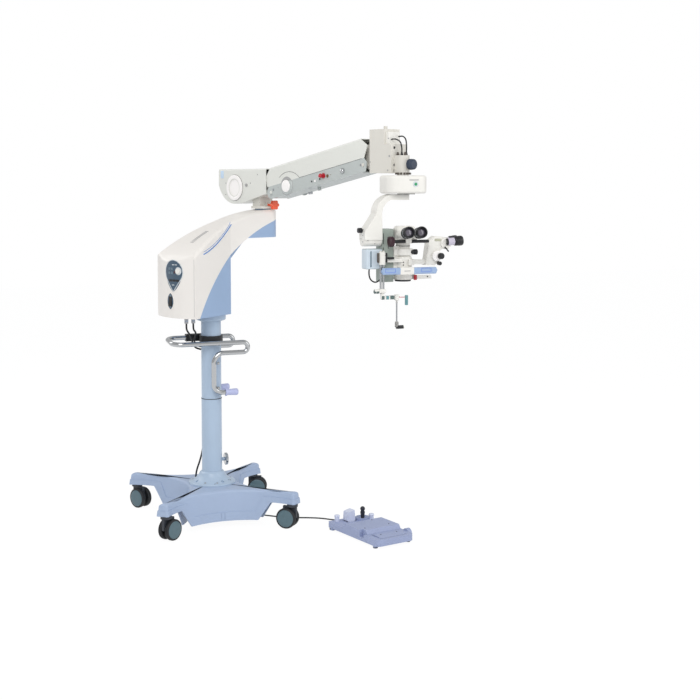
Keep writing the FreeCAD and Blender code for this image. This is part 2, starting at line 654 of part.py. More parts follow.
def push_rail():
    """One bent tube: a loop round the column whose two ends drop as hand hooks."""
    bend, corner = S.rail_hook_bend.number, S.rail_corner.number
    half_drop = S.rail_drop.number / 2
    leg, hook = S.rail_leg_x.number, S.rail_hook_height.number

    def side(y, right, top):
        low = top - S.rail_drop.number
        return [Vector(right + half_drop, y, top), Vector(right + half_drop, y, low),
                Vector(leg, y, low), Vector(leg, y, hook),
                Vector(leg + bend + S.rail_tip.number, y, hook)]

    near = side(S.rail_front.number, S.rail_right.number, S.rail_height.number)
    far = side(S.rail_rear.number, S.rail_rear_right.number, S.rail_rear_height.number)
    left = [Vector(S.rail_left.number, S.rail_front.number, S.rail_height.number),
            Vector(S.rail_left.number, S.rail_rear.number, S.rail_rear_height.number)]
    hairpin = half_drop * 0.98
    radii = [bend, corner, hairpin, hairpin, corner, corner, hairpin, hairpin, corner, bend]
    rail = tube_feature(near[::-1] + left + far, radii, S.rail_radius.number)
    node("push_rail", rail)

    grips = []
    for y in (S.rail_front, S.rail_rear):
        start = S.rail_leg_x + S.rail_hook_bend + S.rail_tip - S.grip_start
        sleeve = revolve([
            (S.rail_radius, 0.0), (S.grip_radius + 2, 0.0), (S.grip_radius + 2, 5.0),
            (S.grip_radius - 2, 12.0), (S.grip_radius, S.grip_length - 10),
            (S.grip_radius - 8, S.grip_length, 9), (0.0, S.grip_length),
            (0.0, S.grip_start), (S.rail_radius, S.grip_start)])
        grips.append(move(sleeve, start, y, S.rail_hook_height, TURNS["x"]))
    node("rail_grips", group(*grips))

    half = S.clamp_height / 2
    low, high = S.rail_rear_height - half, S.rail_rear_height + half
    bar = box(S.clamp_left, S.clamp_right, S.rail_rear - S.clamp_depth / 2,
              S.rail_rear + S.clamp_depth / 2, low, high)
    neck = box(-S.clamp_neck, S.clamp_neck, 0, S.rail_rear, low, high)
    band = rod("z", 0, 0, low, S.upper_column_radius + S.clamp_band, S.clamp_height)
    column_bore = rod("z", 0, 0, low - 1, S.upper_column_radius, S.clamp_height + 2)
    tube_bore = rod("x", S.clamp_left - 1, S.rail_rear, S.rail_rear_height, S.rail_radius,
                    S.clamp_right - S.clamp_left + 2)
    node("rail_clamp", cut(fuse(bar, neck, band), column_bore, tube_bore))


def column_cable():
    points = [Vector(-30, 60, 896.7), Vector(-27, 58, 800), Vector(-31, 61, 700),
              Vector(-27, 58, 600), Vector(-31, 61, 500), Vector(-28, 60, 410),
              Vector(-32, 64, 335), Vector(-44, 78, 276), Vector(-56, 98, 226),
              Vector(-60, 108, 182)]
    node("column_cable", tube_feature(points, cord_radii(points), S.lead_radius.number))


def housing_cables():
    """Two leads from the housing's underside into the back of the column."""
    tubes = []
    ends = (((S.socket_x, S.socket_y), 0), ((S.second_socket_x, S.second_socket_y), 14))
    for (plug_x, plug_y), rise in ends:
        top = HOUSING.multVec(Vector(plug_x.number, plug_y.number,
                                     S.housing_low.number - S.plug_length.number - 0.2))
        points = [top, top + Vector(0, 0, -32),
                  Vector(top.x * 0.8, top.y * 0.62, 940 + rise),
                  Vector(-98 + rise * 0.5, -14, 896 + rise),
                  Vector(-78, 14, 870 + rise), Vector(-48.5, 20.6, 860 + rise)]
        tubes.append(tube_feature(points, cord_radii(points), S.lead_radius.number))
    node("housing_cables", group(*tubes))


def foot_switch():
    half_x, half_y, corner = S.pedal_half_width, S.pedal_half_length, S.pedal_corner

    def plan(inset):
        x, y, r = half_x - inset, half_y - inset, corner
        return [(-x + r, -y, r), (x - r, -y), (x, -y + r, r), (x, y - r), (x - r, y, r),
                (-x + r, y), (-x, y - r, r), (-x, -y + r)]

    side = [(-half_y, S.pedal_low), (half_y, S.pedal_low), (half_y, S.pedal_deck - 6),
            (half_y - 10, S.pedal_deck), (S.pedal_block_rear + 10, S.pedal_deck),
            (S.pedal_block_rear, S.pedal_block - 8), (S.pedal_block_rear - 10, S.pedal_block),
            (S.pedal_block_front + 12, S.pedal_block),
            (S.pedal_block_front, S.pedal_front_deck), (-half_y, S.pedal_front_deck)]
    form = common(pad("XY_Plane", plan(0.0), S.pedal_low, S.pedal_block + 1),
                  pad("YZ_Plane", side, -half_x, half_x))
    notch = box(-half_x - 1, -half_x + S.pedal_notch, S.pedal_block_front,
                S.pedal_block_front + S.pedal_notch_length, S.pedal_front_deck - 14,
                S.pedal_block + 1)
    boot_well = rod("z", S.stick_x, S.stick_y, S.pedal_deck - S.stick_hollow / 2,
                    S.stick_radius + 4, S.stick_hollow)
    boot = rod("z", S.stick_x, S.stick_y, S.pedal_deck - 1, S.stick_boot_radius,
               S.stick_boot + 1)
    boot_dish = cone("z", S.stick_x, S.stick_y, S.pedal_deck + 2, S.stick_radius + 4,
                     S.stick_boot_radius - 4, S.stick_boot)
    rocker_well = box(S.rocker_x - S.rocker_half - 3, S.rocker_x + S.rocker_half + 3,
                      S.rocker_y - S.rocker_half - 3, S.rocker_y + S.rocker_half + 3,
                      S.pedal_deck - 16, S.pedal_deck + 1)
    wells = [rod("z", x, y, S.pedal_deck - 16, S.button_radius + S.gap, 40)
             for x, y in ((S.left_button_x, S.left_button_y),
                          (S.right_button_x, S.right_button_y))]
    treadle_well = box(-S.treadle_half_width - 2, S.treadle_half_width + 2,
                       S.treadle_front - 2, S.treadle_rear + 2,
                       S.pedal_front_deck - S.treadle_thick, S.pedal_front_deck + 1)
    bumper = rod("x", half_x - 4, S.bumper_y, S.pedal_front_deck - 12, S.bumper_radius,
                 S.bumper_length)
    feet = [cone("z", sx * (half_x - S.foot_inset_x), sy * (half_y - S.foot_inset_y), 0,
                 S.foot_radius - 2, S.foot_radius, S.pedal_low + 1)
            for sx in (-1, 1) for sy in (-1, 1)]
    gland = cone("y", S.pedal_cord_x, half_y - 2, S.pedal_cord_z, S.cord_radius + 5,
                 S.cord_radius + 1.5, S.pedal_gland + 2)
    hull = fuse(form, boot, bumper, gland, *feet)
    node("pedal_housing", cut(hull, notch, boot_well, boot_dish, rocker_well, treadle_well,
                              *wells), PEDAL)

    low = S.pedal_deck - S.stick_hollow / 2
    foot = S.stick_radius / 2
    node("pedal_joystick", fuse(
        ball(S.stick_x, S.stick_y, low + foot, foot),
        cone("z", S.stick_x, S.stick_y, low + foot, foot, S.stick_radius,
             S.stick_height - 14),
        rod("z", S.stick_x, S.stick_y, low + S.stick_height - 9, S.stick_radius - 3,
            S.stick_cap),
        ball(S.stick_x, S.stick_y, low + S.stick_height + S.stick_cap - 9, S.stick_radius)),
        PEDAL)

    x, y, half = S.rocker_x, S.rocker_y, S.rocker_half
    low = S.pedal_deck - 16 + S.rocker_lift
    block = pad("XZ_Plane", [
        (x - 6, low), (x + 6, low), (x + half, S.pedal_deck + 6),
        (x + half - 4, low + S.rocker_height + 8), (x - half + 4, low + S.rocker_height),
        (x - half, S.pedal_deck + 4)], y - half, y + half)
    node("pedal_zoom_rocker", block, PEDAL)

    plate_low = S.pedal_front_deck - S.treadle_thick + S.rocker_lift
    front, rear = S.treadle_front, S.treadle_rear
    middle = (front + rear) / 2
    treadle = pad("YZ_Plane", [
        (middle - 4, plate_low), (middle + 4, plate_low), (rear, S.pedal_front_deck - 3),
        (rear, S.pedal_front_deck + 1), (middle, S.treadle_top - 3),
        (front, S.pedal_front_deck + 1), (front, S.pedal_front_deck - 3)],
        -S.treadle_half_width, S.treadle_half_width)
    node("pedal_focus_rocker", treadle, PEDAL)

    for name, x, y in (("left", S.left_button_x, S.left_button_y),
                       ("right", S.right_button_x, S.right_button_y)):
        base_z = S.pedal_deck - 16 + S.button_travel
        top = base_z + S.button_height + 4
        button = fuse(rod("z", x, y, base_z, S.button_radius, S.button_height + 4),
                      cone("z", x, y, top - 1, S.button_head_radius,
                           S.button_head_radius - 4, 6))
        node(f"pedal_button_{name}", button, PEDAL)


def pedal_cord():
    """Free cord from the base to the foot switch; its middle lies on the floor."""
    start = Vector(S.gland_x.number, S.gland_y.number, S.gland_z.number)
    end = PEDAL.multVec(Vector(S.pedal_cord_x.number,
                               S.pedal_half_length.number + S.pedal_gland.number,
                               S.pedal_cord_z.number))
    lead = PEDAL.multVec(Vector(S.pedal_cord_x.number + 1,
                                S.pedal_half_length.number + S.pedal_gland.number + 40,
                                S.pedal_cord_z.number - 4))
    floor = S.cord_radius.number + 0.2
    points = [start, Vector(154, -15, 40), Vector(190, -32, 17), Vector(232, -62, floor),
              Vector(276, -108, floor), Vector(326, -152, floor), Vector(384, -186, floor),
              Vector(444, -210, floor), Vector(500, -240, floor), Vector(538, -286, floor + 1),
              lead, end]
    node("pedal_cord", tube_feature(points, cord_radii(points), S.cord_radius.number))


def housing_plan(inset):
    """Plan of the housing: bulged rear, tapering sides, round end about the neck."""
    wide, waist = S.housing_half_width - inset, S.waist_half_width - inset
    neck, bevel = S.neck_half_width - inset, S.rear_bevel_half - inset
    return [
        (S.rear_corner, -wide), (S.waist_reach, -waist), (S.neck_reach, -neck),
        (S.neck_reach + neck, 0.0, neck), (S.neck_reach, neck, neck), (S.waist_reach, waist),
        (S.rear_corner, wide),
        (S.rear_bevel + inset, bevel),
        (S.rear_bevel + inset, -bevel, S.rear_bulge_radius)]


def lamp_housing():
    low = S.housing_low
    arch_end = (S.housing_end, S.shell_arch_end)
    shell_side = [
        (S.housing_rear, low), (S.shell_foot, low), (*arch_end, -S.shell_arch_radius),
        (S.housing_end, S.housing_top),
        (S.brow_reach, S.brow_height, S.housing_top_radius),
        (S.housing_rear, S.housing_rear_top)]
    plan = pad("XY_Plane", housing_plan(0.0), low, S.housing_top + 12)
    wide = S.housing_half_width + 1
    form = common(plan, pad("XZ_Plane", shell_side, -wide, wide))
    outer = rounded(form, S.shell_round, ridge_of_shell)
    spine_side = [
        (S.waist_reach - 30, low + 230), (S.waist_reach - 4, low + 250),
        (S.neck_start + 40, S.neck_low + 20), (S.neck_reach - 10, S.neck_low + 20),
        (S.neck_reach - 10, S.shell_arch_end - 30), (S.neck_start, S.neck_low + 50),
        (S.waist_reach - 30, low + 330)]
    spine_width = S.spine_half_width

    def neck_core():
        return rod("z", S.neck_reach, 0, S.neck_low, S.spine_half_width,
                   S.turntable_low - S.neck_low)

    bearing = rod("z", 0, 0, low - 1, S.spindle_radius + S.running_fit,
                  S.spindle_height + 1 + S.gap)
    lower_side = [
        (S.shell_foot, low), (S.waist_reach, low), (S.waist_reach, low + 302),
        (S.shell_foot, low + 240)]
    neck_side = [
        (S.neck_start, S.neck_low), (S.housing_end, S.neck_low),
        (S.housing_end, S.shell_arch_end), (S.neck_start, S.shell_arch_end)]
    blocks = fuse(pad("XZ_Plane", lower_side, -wide, wide),
                  pad("XZ_Plane", neck_side, -wide, wide))
    lower_plan = pad("XY_Plane", housing_plan(0.0), low, S.housing_top)
    trimmed = cut(common(lower_plan, blocks), pad("XZ_Plane", shell_side, -wide, wide))
    plugs = [rod("-z", x, y, low, S.plug_radius, S.plug_length)
             for x, y in ((S.socket_x, S.socket_y), (S.second_socket_x, S.second_socket_y))]
    core = fuse(trimmed, pad("XZ_Plane", spine_side, -spine_width, spine_width), neck_core(),
                *plugs)
    node("housing_lower", cut(core, bearing), HOUSING)

    axis_x = S.rear_bevel + math.sqrt(
        S.rear_bulge_radius.number ** 2 - S.rear_bevel_half.number ** 2)
    face_x = axis_x - S.rear_bulge_radius
    outside = rod("z", axis_x, 0, low, S.rear_bulge_radius + S.panel_proud, 330)
    inside = rod("z", axis_x, 0, low - 1, S.rear_bulge_radius - S.panel_depth, 332)
    skin = cut(outside, inside)
    y, z, r, tip = S.panel_y, S.panel_height, S.panel_radius, S.panel_tip
    teardrop = [(y + 5, tip + 1), (y + r, z, r * 2.4), (y, z + r, r), (y - r, z, r),
                (y - 5, tip + 1, r * 2.4)]
    half_w, half_t = S.switch_half_width, S.switch_half_height
    lens_radius = (half_w * half_w + half_t * half_t) / (2 * half_w)
    sy, sz = S.switch_y, S.switch_height
    lens = [(sy, sz - half_t, lens_radius), (sy, sz + half_t, lens_radius)]
    windows = fuse(pad("YZ_Plane", teardrop, face_x - 10, face_x + 40),
                   pad("YZ_Plane", lens, face_x - 10, face_x + 40))
    plates = common(skin, windows)
    dial_bore = rod("x", face_x - 8, S.dial_y, S.dial_z, 4 + S.running_fit, 30)
    well = box(face_x - 8, face_x + 12, sy - S.rocker_plate_half - 1,
               sy + S.rocker_plate_half + 1, sz - S.rocker_plate_height - 1,
               sz + S.rocker_plate_height + 1)
    node("control_panel", cut(plates, dial_bore, well), HOUSING)
    dial_face = axis_x - math.sqrt(
        (S.rear_bulge_radius.number + S.panel_proud.number) ** 2 - S.dial_y.number ** 2)
    node("brightness_knob", fuse(
        rod("-x", dial_face + 14, S.dial_y, S.dial_z, 4, 18),
        cone("-x", dial_face - 3.4, S.dial_y, S.dial_z, S.dial_radius, S.dial_radius - 2,
             S.dial_depth)), HOUSING)
    tall = S.rocker_plate_height
    rocker = pad("XZ_Plane", [
        (face_x + 4, sz - tall), (face_x + 4, sz + tall), (face_x - 1, sz + tall),
        (face_x - 3, sz), (face_x - 7, sz - tall)],
        sy - S.rocker_plate_half, sy + S.rocker_plate_half)
    half_pin = S.rocker_plate_half + 1
    pin = rod("y", face_x + 1.6, sy - half_pin, sz, 1.5, 2 * half_pin)
    node("power_rocker", fuse(rocker, pin), HOUSING)

    shell = cut(outer, pad("XZ_Plane", spine_side, -spine_width, spine_width), neck_core(),
                rod("z", 0, 0, low - 1, S.spindle_radius + 2, S.spindle_height + 4),
                common(skin, windows), dial_bore, well)
    node("housing_shell", shell, HOUSING)


def ridge_of_shell(edge):
    """The rim of the crowned top, from the brow over the rear panel to the round end."""
    x0, x1, y0, y1, z0, z1 = edge_box(edge)
    upright = x1 - x0 < 1 and y1 - y0 < 1
    under_neck = x0 > S.waist_reach.number - 1 and z0 < S.shell_arch_end.number - 10
    return z0 > S.brow_height.number - 6 and not upright and not under_neck


def arm():
    half = S.hub_half_width
    ring = rod("z", 0, 0, S.turntable_low, S.turntable_radius, S.turntable_top - S.turntable_low)
    block = box(-S.hub_rear, S.hub_front, -half, half, S.turntable_top - 1,
                S.box_front_low - 6)
    knob_boss = rod("x", S.hub_front - 8, 0, S.turntable_top + 7, 11, S.lock_knob_stem)
    side = [
        (S.box_rear, S.box_top), (S.box_rear, S.box_rear_low),
        (S.box_round_reach, S.box_mid_low - 5, S.box_round_radius),
        (S.box_mid_reach, S.box_mid_low), (S.box_front, S.box_front_low),
        (S.box_front, S.box_top)]
    wide = S.box_half_width
    case = rounded(pad("XZ_Plane", side, -wide, wide), S.box_edge_round, long_box_edge)
    hub = cut(fuse(ring, block, knob_boss), pad("XZ_Plane", side, -wide, wide))
    node("arm_hub", hub, ARM)

    pocket = box(S.pocket_reach, S.box_front + 1, -wide + S.box_wall, wide - S.box_wall,
                 S.pocket_low, S.box_top - S.box_wall)
    discs, dishes = [], []
    for axis, sign in (("y", 1), ("-y", -1)):
        discs.append(cone(axis, S.disc_reach, sign * (wide - 1), S.disc_height, S.disc_radius,
                          S.disc_radius - S.disc_thick, S.disc_thick + 1))
        dishes.append(rod(axis, S.disc_reach, sign * (wide + S.disc_thick - S.disc_dish),
                          S.disc_height, S.disc_dish_radius, S.disc_thick))
    inner, outer = S.lug_inner, S.lug_inner + S.lug_thick
    px, pz, drop = S.lower_pivot_x, S.lower_pivot_z, S.rod_offset
    lugs = []
    for low, high in ((inner, outer), (-outer, -inner)):
        lugs.append(pad("XZ_Plane", [
            (S.pocket_reach - 6, S.pocket_low - 2), (S.box_front - 2, S.pocket_low - 2),
            (px, pz - S.lug_radius), (px + S.lug_radius, pz, S.lug_radius),
            (px + S.lug_radius, pz + drop), (px, pz + drop + S.lug_radius, S.lug_radius),
            (S.pocket_reach - 6, pz + drop + S.lug_radius)], low, high))
    pin_half = S.beam_half_width + 3
    pins = [rod("y", px, -pin_half, pz, S.pivot_pin, 2 * pin_half),
            rod("y", px, -outer, pz + drop, S.rod_pin, 2 * outer)]
    node("pivot_box", fuse(cut(fuse(case, *discs), pocket, *dishes), *lugs, *pins), ARM)

    boss_end = S.hub_front - 8 + S.lock_knob_stem
    knob_x = boss_end + S.lock_knob_stem * 1.6
    z = S.turntable_top + 7
    lobes = [rod("x", knob_x, S.lock_knob_radius * 0.72 * math.cos(math.radians(60 * k)),
                 z + S.lock_knob_radius * 0.72 * math.sin(math.radians(60 * k)),
                 S.lock_lobe_radius, S.lock_knob_thick) for k in range(6)]
    node("arm_lock_knob", fuse(
        rod("x", boss_end, 0, z, S.lock_knob_stem_radius, S.lock_knob_stem * 1.6 + 1),
        rod("x", knob_x, 0, z, S.lock_knob_radius * 0.72, S.lock_knob_thick), *lobes), ARM)


def long_box_edge(edge):
    x0, x1, y0, y1, z0, z1 = edge_box(edge)
    return y1 - y0 < 0.5 and z0 > S.box_top.number - 1


def beam():
    wide, wall = S.beam_half_width, S.beam_wall
    channel_side = [
        (0.0, S.beam_low, -S.beam_low), (S.seam_tail_x, S.beam_low),
        (S.channel_tip_x, S.channel_tip_z), (S.seam_tail_x, S.beam_seam),
        (-11.3, S.beam_seam)]
    cover_side = [
        (S.cover_heel_x, S.beam_seam), (S.seam_tail_x, S.beam_seam),
        (S.cover_tip_x, S.cover_tip_z), (S.cover_tail_x, S.beam_top),
        (S.cover_nose_x, S.beam_top), (S.cover_heel_x, S.cover_heel_z)]
    outer = pad("XZ_Plane", channel_side, -wide, wide)
    hollow = box(-200, S.channel_tip_x + 100, -wide + wall, wide - wall, S.beam_low + wall,
                 S.beam_seam + 1)
    ends = [box(-200, S.floor_start, -wide + wall, wide - wall, S.beam_low - 1, S.beam_seam),
            box(S.floor_end, S.channel_tip_x + 100, -wide + wall, wide - wall,
                S.beam_low - 1, S.beam_seam)]
    bores = [rod("y", x, -wide - 20, 0, S.pivot_pin + S.running_fit, 2 * wide + 40)
             for x in (0.0, S.beam_length)]
    bosses, domes = [], []
    for axis, sign in (("y", 1), ("-y", -1)):
        bosses.append(cone(axis, S.boss_x, sign * (wide - 1), S.boss_z - S.boss_radius * 0.45,
                           S.boss_radius, S.boss_radius - 6, S.boss_height + 1))
        bosses.append(cone(axis, S.boss_x, sign * (wide + S.boss_height - 1),
                           S.boss_z - S.boss_radius * 0.45, S.boss_cap_radius,
                           S.boss_cap_radius - 3, S.boss_cap + 1))
    domes.append(ball(S.side_dome_x, -wide, 0, S.side_dome_radius))
    under = rod("-z", S.under_knob_x, 0, S.beam_low + 1, S.under_knob_radius,
                S.under_knob_height)
    boss_trim = box(-200, S.cover_tip_x, -wide - 40, wide + 40, S.beam_seam, S.beam_seam + 60)
    inside = box(-200, S.cover_tip_x + 100, -wide + wall, wide - wall, S.beam_low + wall,
                 S.beam_seam + 60)
    shell = cut(fuse(outer, *bosses, *domes, under), hollow, inside, boss_trim, *ends, *bores)
    node("arm_channel", shell, BEAM)

    top = rounded(pad("XZ_Plane", cover_side, -wide, wide), 9, beam_cover_edge)
    cover_hollow = box(-200, S.cover_tip_x + 100, -wide + wall, wide - wall, S.beam_seam - 1,
                       S.beam_top - wall)
    node("arm_cover", cut(top, cover_hollow), BEAM)

    knob_y = -wide - S.lift_knob_stem
    node("lift_lock_knob", fuse(
        rod("-y", S.lift_knob_x, -wide - S.gap, S.lift_knob_z, S.lift_knob_ring, 4),
        rod("-y", S.lift_knob_x, -wide - 3, S.lift_knob_z, S.lift_knob_radius / 2,
            S.lift_knob_stem),
        ball(S.lift_knob_x, knob_y - S.lift_knob_radius * 0.8, S.lift_knob_z,
             S.lift_knob_radius)), BEAM)


def beam_cover_edge(edge):
    x0, x1, y0, y1, z0, z1 = edge_box(edge)
    return x1 - x0 > 400 and z0 > S.beam_top.number - 1


def levelling_rod():
    """Upper bar of the parallelogram; it stays parallel to the beam."""
    start = ARM.multVec(Vector(S.lower_pivot_x.number, 0,
                               S.lower_pivot_z.number + S.rod_offset.number))
    frame = frame_at(start.x, start.y, start.z, S.arm_yaw.number, S.arm_tilt.number)
    wide, tall = S.rod_half_width, S.rod_half_height
    bar = box(0, S.beam_length, -wide / 2, wide / 2, -tall, tall)
    eyes = [rod("y", x, -wide, 0, S.rod_eye_radius, 2 * wide) for x in (0.0, S.beam_length)]
    near = rod("y", 0, -wide - 1, 0, S.rod_pin + S.running_fit, 2 * wide + 2)
    far = rod("y", S.beam_length, -wide - 1, 0, S.rod_pin + S.pivot_play, 2 * wide + 2)
    node("levelling_rod", cut(fuse(bar, *eyes), near, far), frame)


def arm_end():
    qx = S.lower_pivot_x + S.beam_length * math.cos(math.radians(S.arm_tilt.number))
    qz = S.lower_pivot_z + S.beam_length * math.sin(math.radians(S.arm_tilt.number))
    wide, near, far = S.bracket_half_width, S.bracket_near, S.bracket_far
    block = cut(box(near, far, -wide, wide, S.bracket_low, S.bracket_top),
                box(S.hood_near, far + 1, -wide - 1, wide + 1, S.hood_low, S.bracket_top + 1))
    body = rounded(block, S.bracket_round, bracket_edge)
    inner, outer = S.lug_inner, S.lug_inner + S.lug_thick
    lugs = []
    for low, high in ((inner, outer), (-outer, -inner)):
        lugs.append(pad("XZ_Plane", [
            (near + 8, qz - S.lug_radius), (near + 8, qz + S.rod_offset + S.lug_radius),
            (qx, qz + S.rod_offset + S.lug_radius),
            (qx - S.lug_radius, qz + S.rod_offset, S.lug_radius),
            (qx - S.lug_radius, qz), (qx, qz - S.lug_radius, S.lug_radius)], low, high))
    pin_half = S.beam_half_width + 3
    pins = [rod("y", qx, -pin_half, qz, S.pivot_pin, 2 * pin_half),
            rod("y", qx, -outer, qz + S.rod_offset, S.rod_pin, 2 * outer)]
    boss = rod("z", S.head_reach, 0, S.bracket_low, S.swivel_boss_radius,
               S.swivel_boss_top - S.bracket_low)
    bridge = box(far - 10, S.head_reach, -S.swivel_boss_radius, S.swivel_boss_radius,
                 S.bracket_low, S.swivel_boss_top)
    brake_boss = rod("x", S.head_reach, 0, S.brake_height, 12, S.swivel_boss_radius + 4)
    bore = rod("z", S.head_reach, 0, S.bracket_low - 1, S.swivel_bore + S.running_fit,
               S.swivel_boss_top - S.bracket_low - 11)
    fitting = rod("z", near + 60, 0, S.bracket_top - 1, S.fitting_radius,
                  S.fitting_height + 1)
    node("end_bracket", cut(fuse(body, *lugs, *pins, boss, bridge, brake_boss, fitting),
                            bore), ARM)

    hood = rounded(box(S.hood_near, S.hood_far, -S.hood_half_width, S.hood_half_width,
                       S.hood_low, S.hood_top), S.hood_round, hood_edge)
    node("end_cover", hood, ARM)

    start = S.head_reach + S.swivel_boss_radius + 4
    node("swivel_brake_knob", fuse(
        rod("x", start, 0, S.brake_height, S.brake_stem_radius, S.brake_stem),
        cone("x", start + S.brake_stem - 1, 0, S.brake_height, S.brake_knob_radius - 5,
             S.brake_knob_radius, 6),
        rod("x", start + S.brake_stem + 4, 0, S.brake_height, S.brake_knob_radius,
            S.brake_knob_thick - 8),
        cone("x", start + S.brake_stem + S.brake_knob_thick - 5, 0, S.brake_height,
             S.brake_knob_radius, S.brake_knob_radius - 7, 5)), ARM)


def bracket_edge(edge):
    x0, x1, y0, y1, z0, z1 = edge_box(edge)
    return z1 - z0 > 150


def hood_edge(edge):
    x0, x1, y0, y1, z0, z1 = edge_box(edge)
    return x0 > S.hood_near.number + 4 and y1 - y0 < 1


def head_cables():
    """Two leads from the hood down to the swivel boss."""
    hood, top = S.hood_far.number + 0.2, S.swivel_boss_top.number + 0.2
    tubes = []
    for points in (
            [Vector(hood, -21, 1900), Vector(1010, -20, 1902), Vector(1033, -10, 1890),
             Vector(1038, -6, 1862), Vector(1037, -5, top)],
            [Vector(hood, 26, 1914), Vector(1012, 25, 1916), Vector(1042, 16, 1902),
             Vector(1052, 11, 1868), Vector(1051, 10, top)]):
        local = [ARM.multVec(point) for point in points]
        tubes.append(tube_feature(local, cord_radii(local), 3.2))
    node("head_cables", group(*tubes))


def xy_unit():
    x, y, r = S.xy_half_length, S.xy_half_depth, S.xy_corner

    def plan(inset):
        a, b, c = x - inset, y - inset, r - inset
        return [(-a + c, -b, c), (a - c, -b), (a, -b + c, c), (a, b - c), (a - c, b, c),
                (-a + c, b), (-a, b - c, c), (-a, -b + c)]

    case = rounded(pad("XY_Plane", plan(0.0), S.xy_low, S.xy_top), S.xy_round, xy_rim)
    hollow = pad("XY_Plane", plan(S.xy_wall), S.xy_low + S.xy_wall, S.xy_top - S.xy_wall)
    window = rod("z", 0, 0, S.xy_low - 1, S.xy_floor_hole, S.xy_wall + 2)
    button_bore = rod("-y", S.reset_x, -y + S.xy_wall + 1, S.reset_z,
                      S.reset_radius + S.gap, S.xy_wall + 2)
    neck = rod("z", 0, 0, S.xy_top - 1, S.xy_neck_radius, S.bracket_low - S.xy_top + 1)
    spindle = rod("z", 0, 0, S.bracket_low - 1, S.swivel_bore,
                  S.swivel_boss_top - S.bracket_low - 13)
    rails_low = S.slide_plate_z + S.slide_plate_thick
    rail = box(-10, 10, -y + S.xy_wall - 1, y - S.xy_wall + 1, rails_low,
               S.xy_top - S.xy_wall + 1)
    node("xy_housing", fuse(cut(case, hollow, window, button_bore), neck, spindle, rail), HEAD)
    node("xy_reset_button", fuse(
        rod("-y", S.reset_x, -y + S.reset_depth - 1, S.reset_z, S.reset_radius,
            S.reset_depth - 1 + S.reset_proud),
        rod("-y", S.reset_x, -y + S.reset_depth, S.reset_z, S.reset_radius + 3,
            S.reset_depth - S.xy_wall - S.gap - 2)), HEAD)
    half = S.slide_plate_half
    z = S.slide_plate_z
    node("xy_slide_plate", fuse(
        box(-half, half, -half, half, z, z + S.slide_plate_thick),
        box(-half, half, -10, 10, z - 6, z + 1)), HEAD)


def xy_rim(edge):
    x0, x1, y0, y1, z0, z1 = edge_box(edge)
    return z1 - z0 < 1


def gooseneck():
    deep = S.neck_depth
    side = [
        (S.neck_plate_right, S.neck_plate_top), (S.neck_bend_x, S.neck_plate_top),
        (S.shoulder_x, S.shoulder_z, 88), (S.elbow_x, S.elbow_z),
        (S.shank_left, S.tilt_z + 40), (S.shank_left, S.tilt_z), (S.shank_right, S.tilt_z),
        (S.shank_inner_x, S.shank_inner_z), (S.inner_bend_x, S.neck_plate_low, -72),
        (S.neck_plate_right, S.neck_plate_low)]
    form = pad("XZ_Plane", side, -deep, deep)
    boss = rod("x", S.shank_left, 0, S.tilt_z, S.tilt_boss_radius, S.shank_right - S.shank_left)
    post_top = S.slide_plate_z - 6
    post = rod("z", 0, 0, S.neck_plate_top - 1, S.neck_post_radius,
               post_top - S.neck_plate_top + 1)
    bore = rod("x", S.shank_right - 40, 0, S.tilt_z, S.tilt_shaft_radius + S.running_fit, 60)
    knob_bore = rod("x", S.shank_left - 10, 0, S.tilt_knob_z, 5 + S.running_fit, 34)
    node("gooseneck", cut(fuse(form, boss, post), bore, knob_bore), HEAD)
    node("tilt_knob", fuse(
        rod("-x", S.shank_left + 20, 0, S.tilt_knob_z, 5, 24),
        rod("-x", S.shank_left - 3, 0, S.tilt_knob_z, S.tilt_knob_radius,
            S.tilt_knob_thick)), HEAD)


def focus_unit():
    left, right = S.plate_left, S.plate_right
    front, rear = S.plate_front, S.plate_rear
    case = rounded(box(left, right, front, rear, S.plate_low, S.plate_top), 6, plate_edge)
    shaft = rod("-x", left + 1, 0, S.tilt_z, S.tilt_shaft_radius, 34)
    washer = rod("-x", left + 1, 0, S.tilt_z, 24, left + 1 - S.shank_right - S.gap)
    slot = box(right - S.plate_slot_depth, right + 1, -S.carriage_tongue - 0.3,
               S.carriage_tongue + 0.3, S.plate_low + 10, S.plate_top - 10)
    cable_box = rounded(box(S.cable_box_left, S.cable_box_right, S.cable_box_front,
                            S.cable_box_rear, S.cable_box_low, S.cable_box_top), 6, any_upright)
    tie = box(S.cable_box_right - 1, left + 1, -8, 8, S.cable_box_low + 20,
              S.cable_box_top - 20)
    node("focus_plate", fuse(cut(case, slot), shaft, washer, cable_box, tie), HEAD)


def plate_edge(edge):
    x0, x1, y0, y1, z0, z1 = edge_box(edge)
    return x1 - x0 > 10


def any_upright(edge):
    x0, x1, y0, y1, z0, z1 = edge_box(edge)
    return z1 - z0 > 10


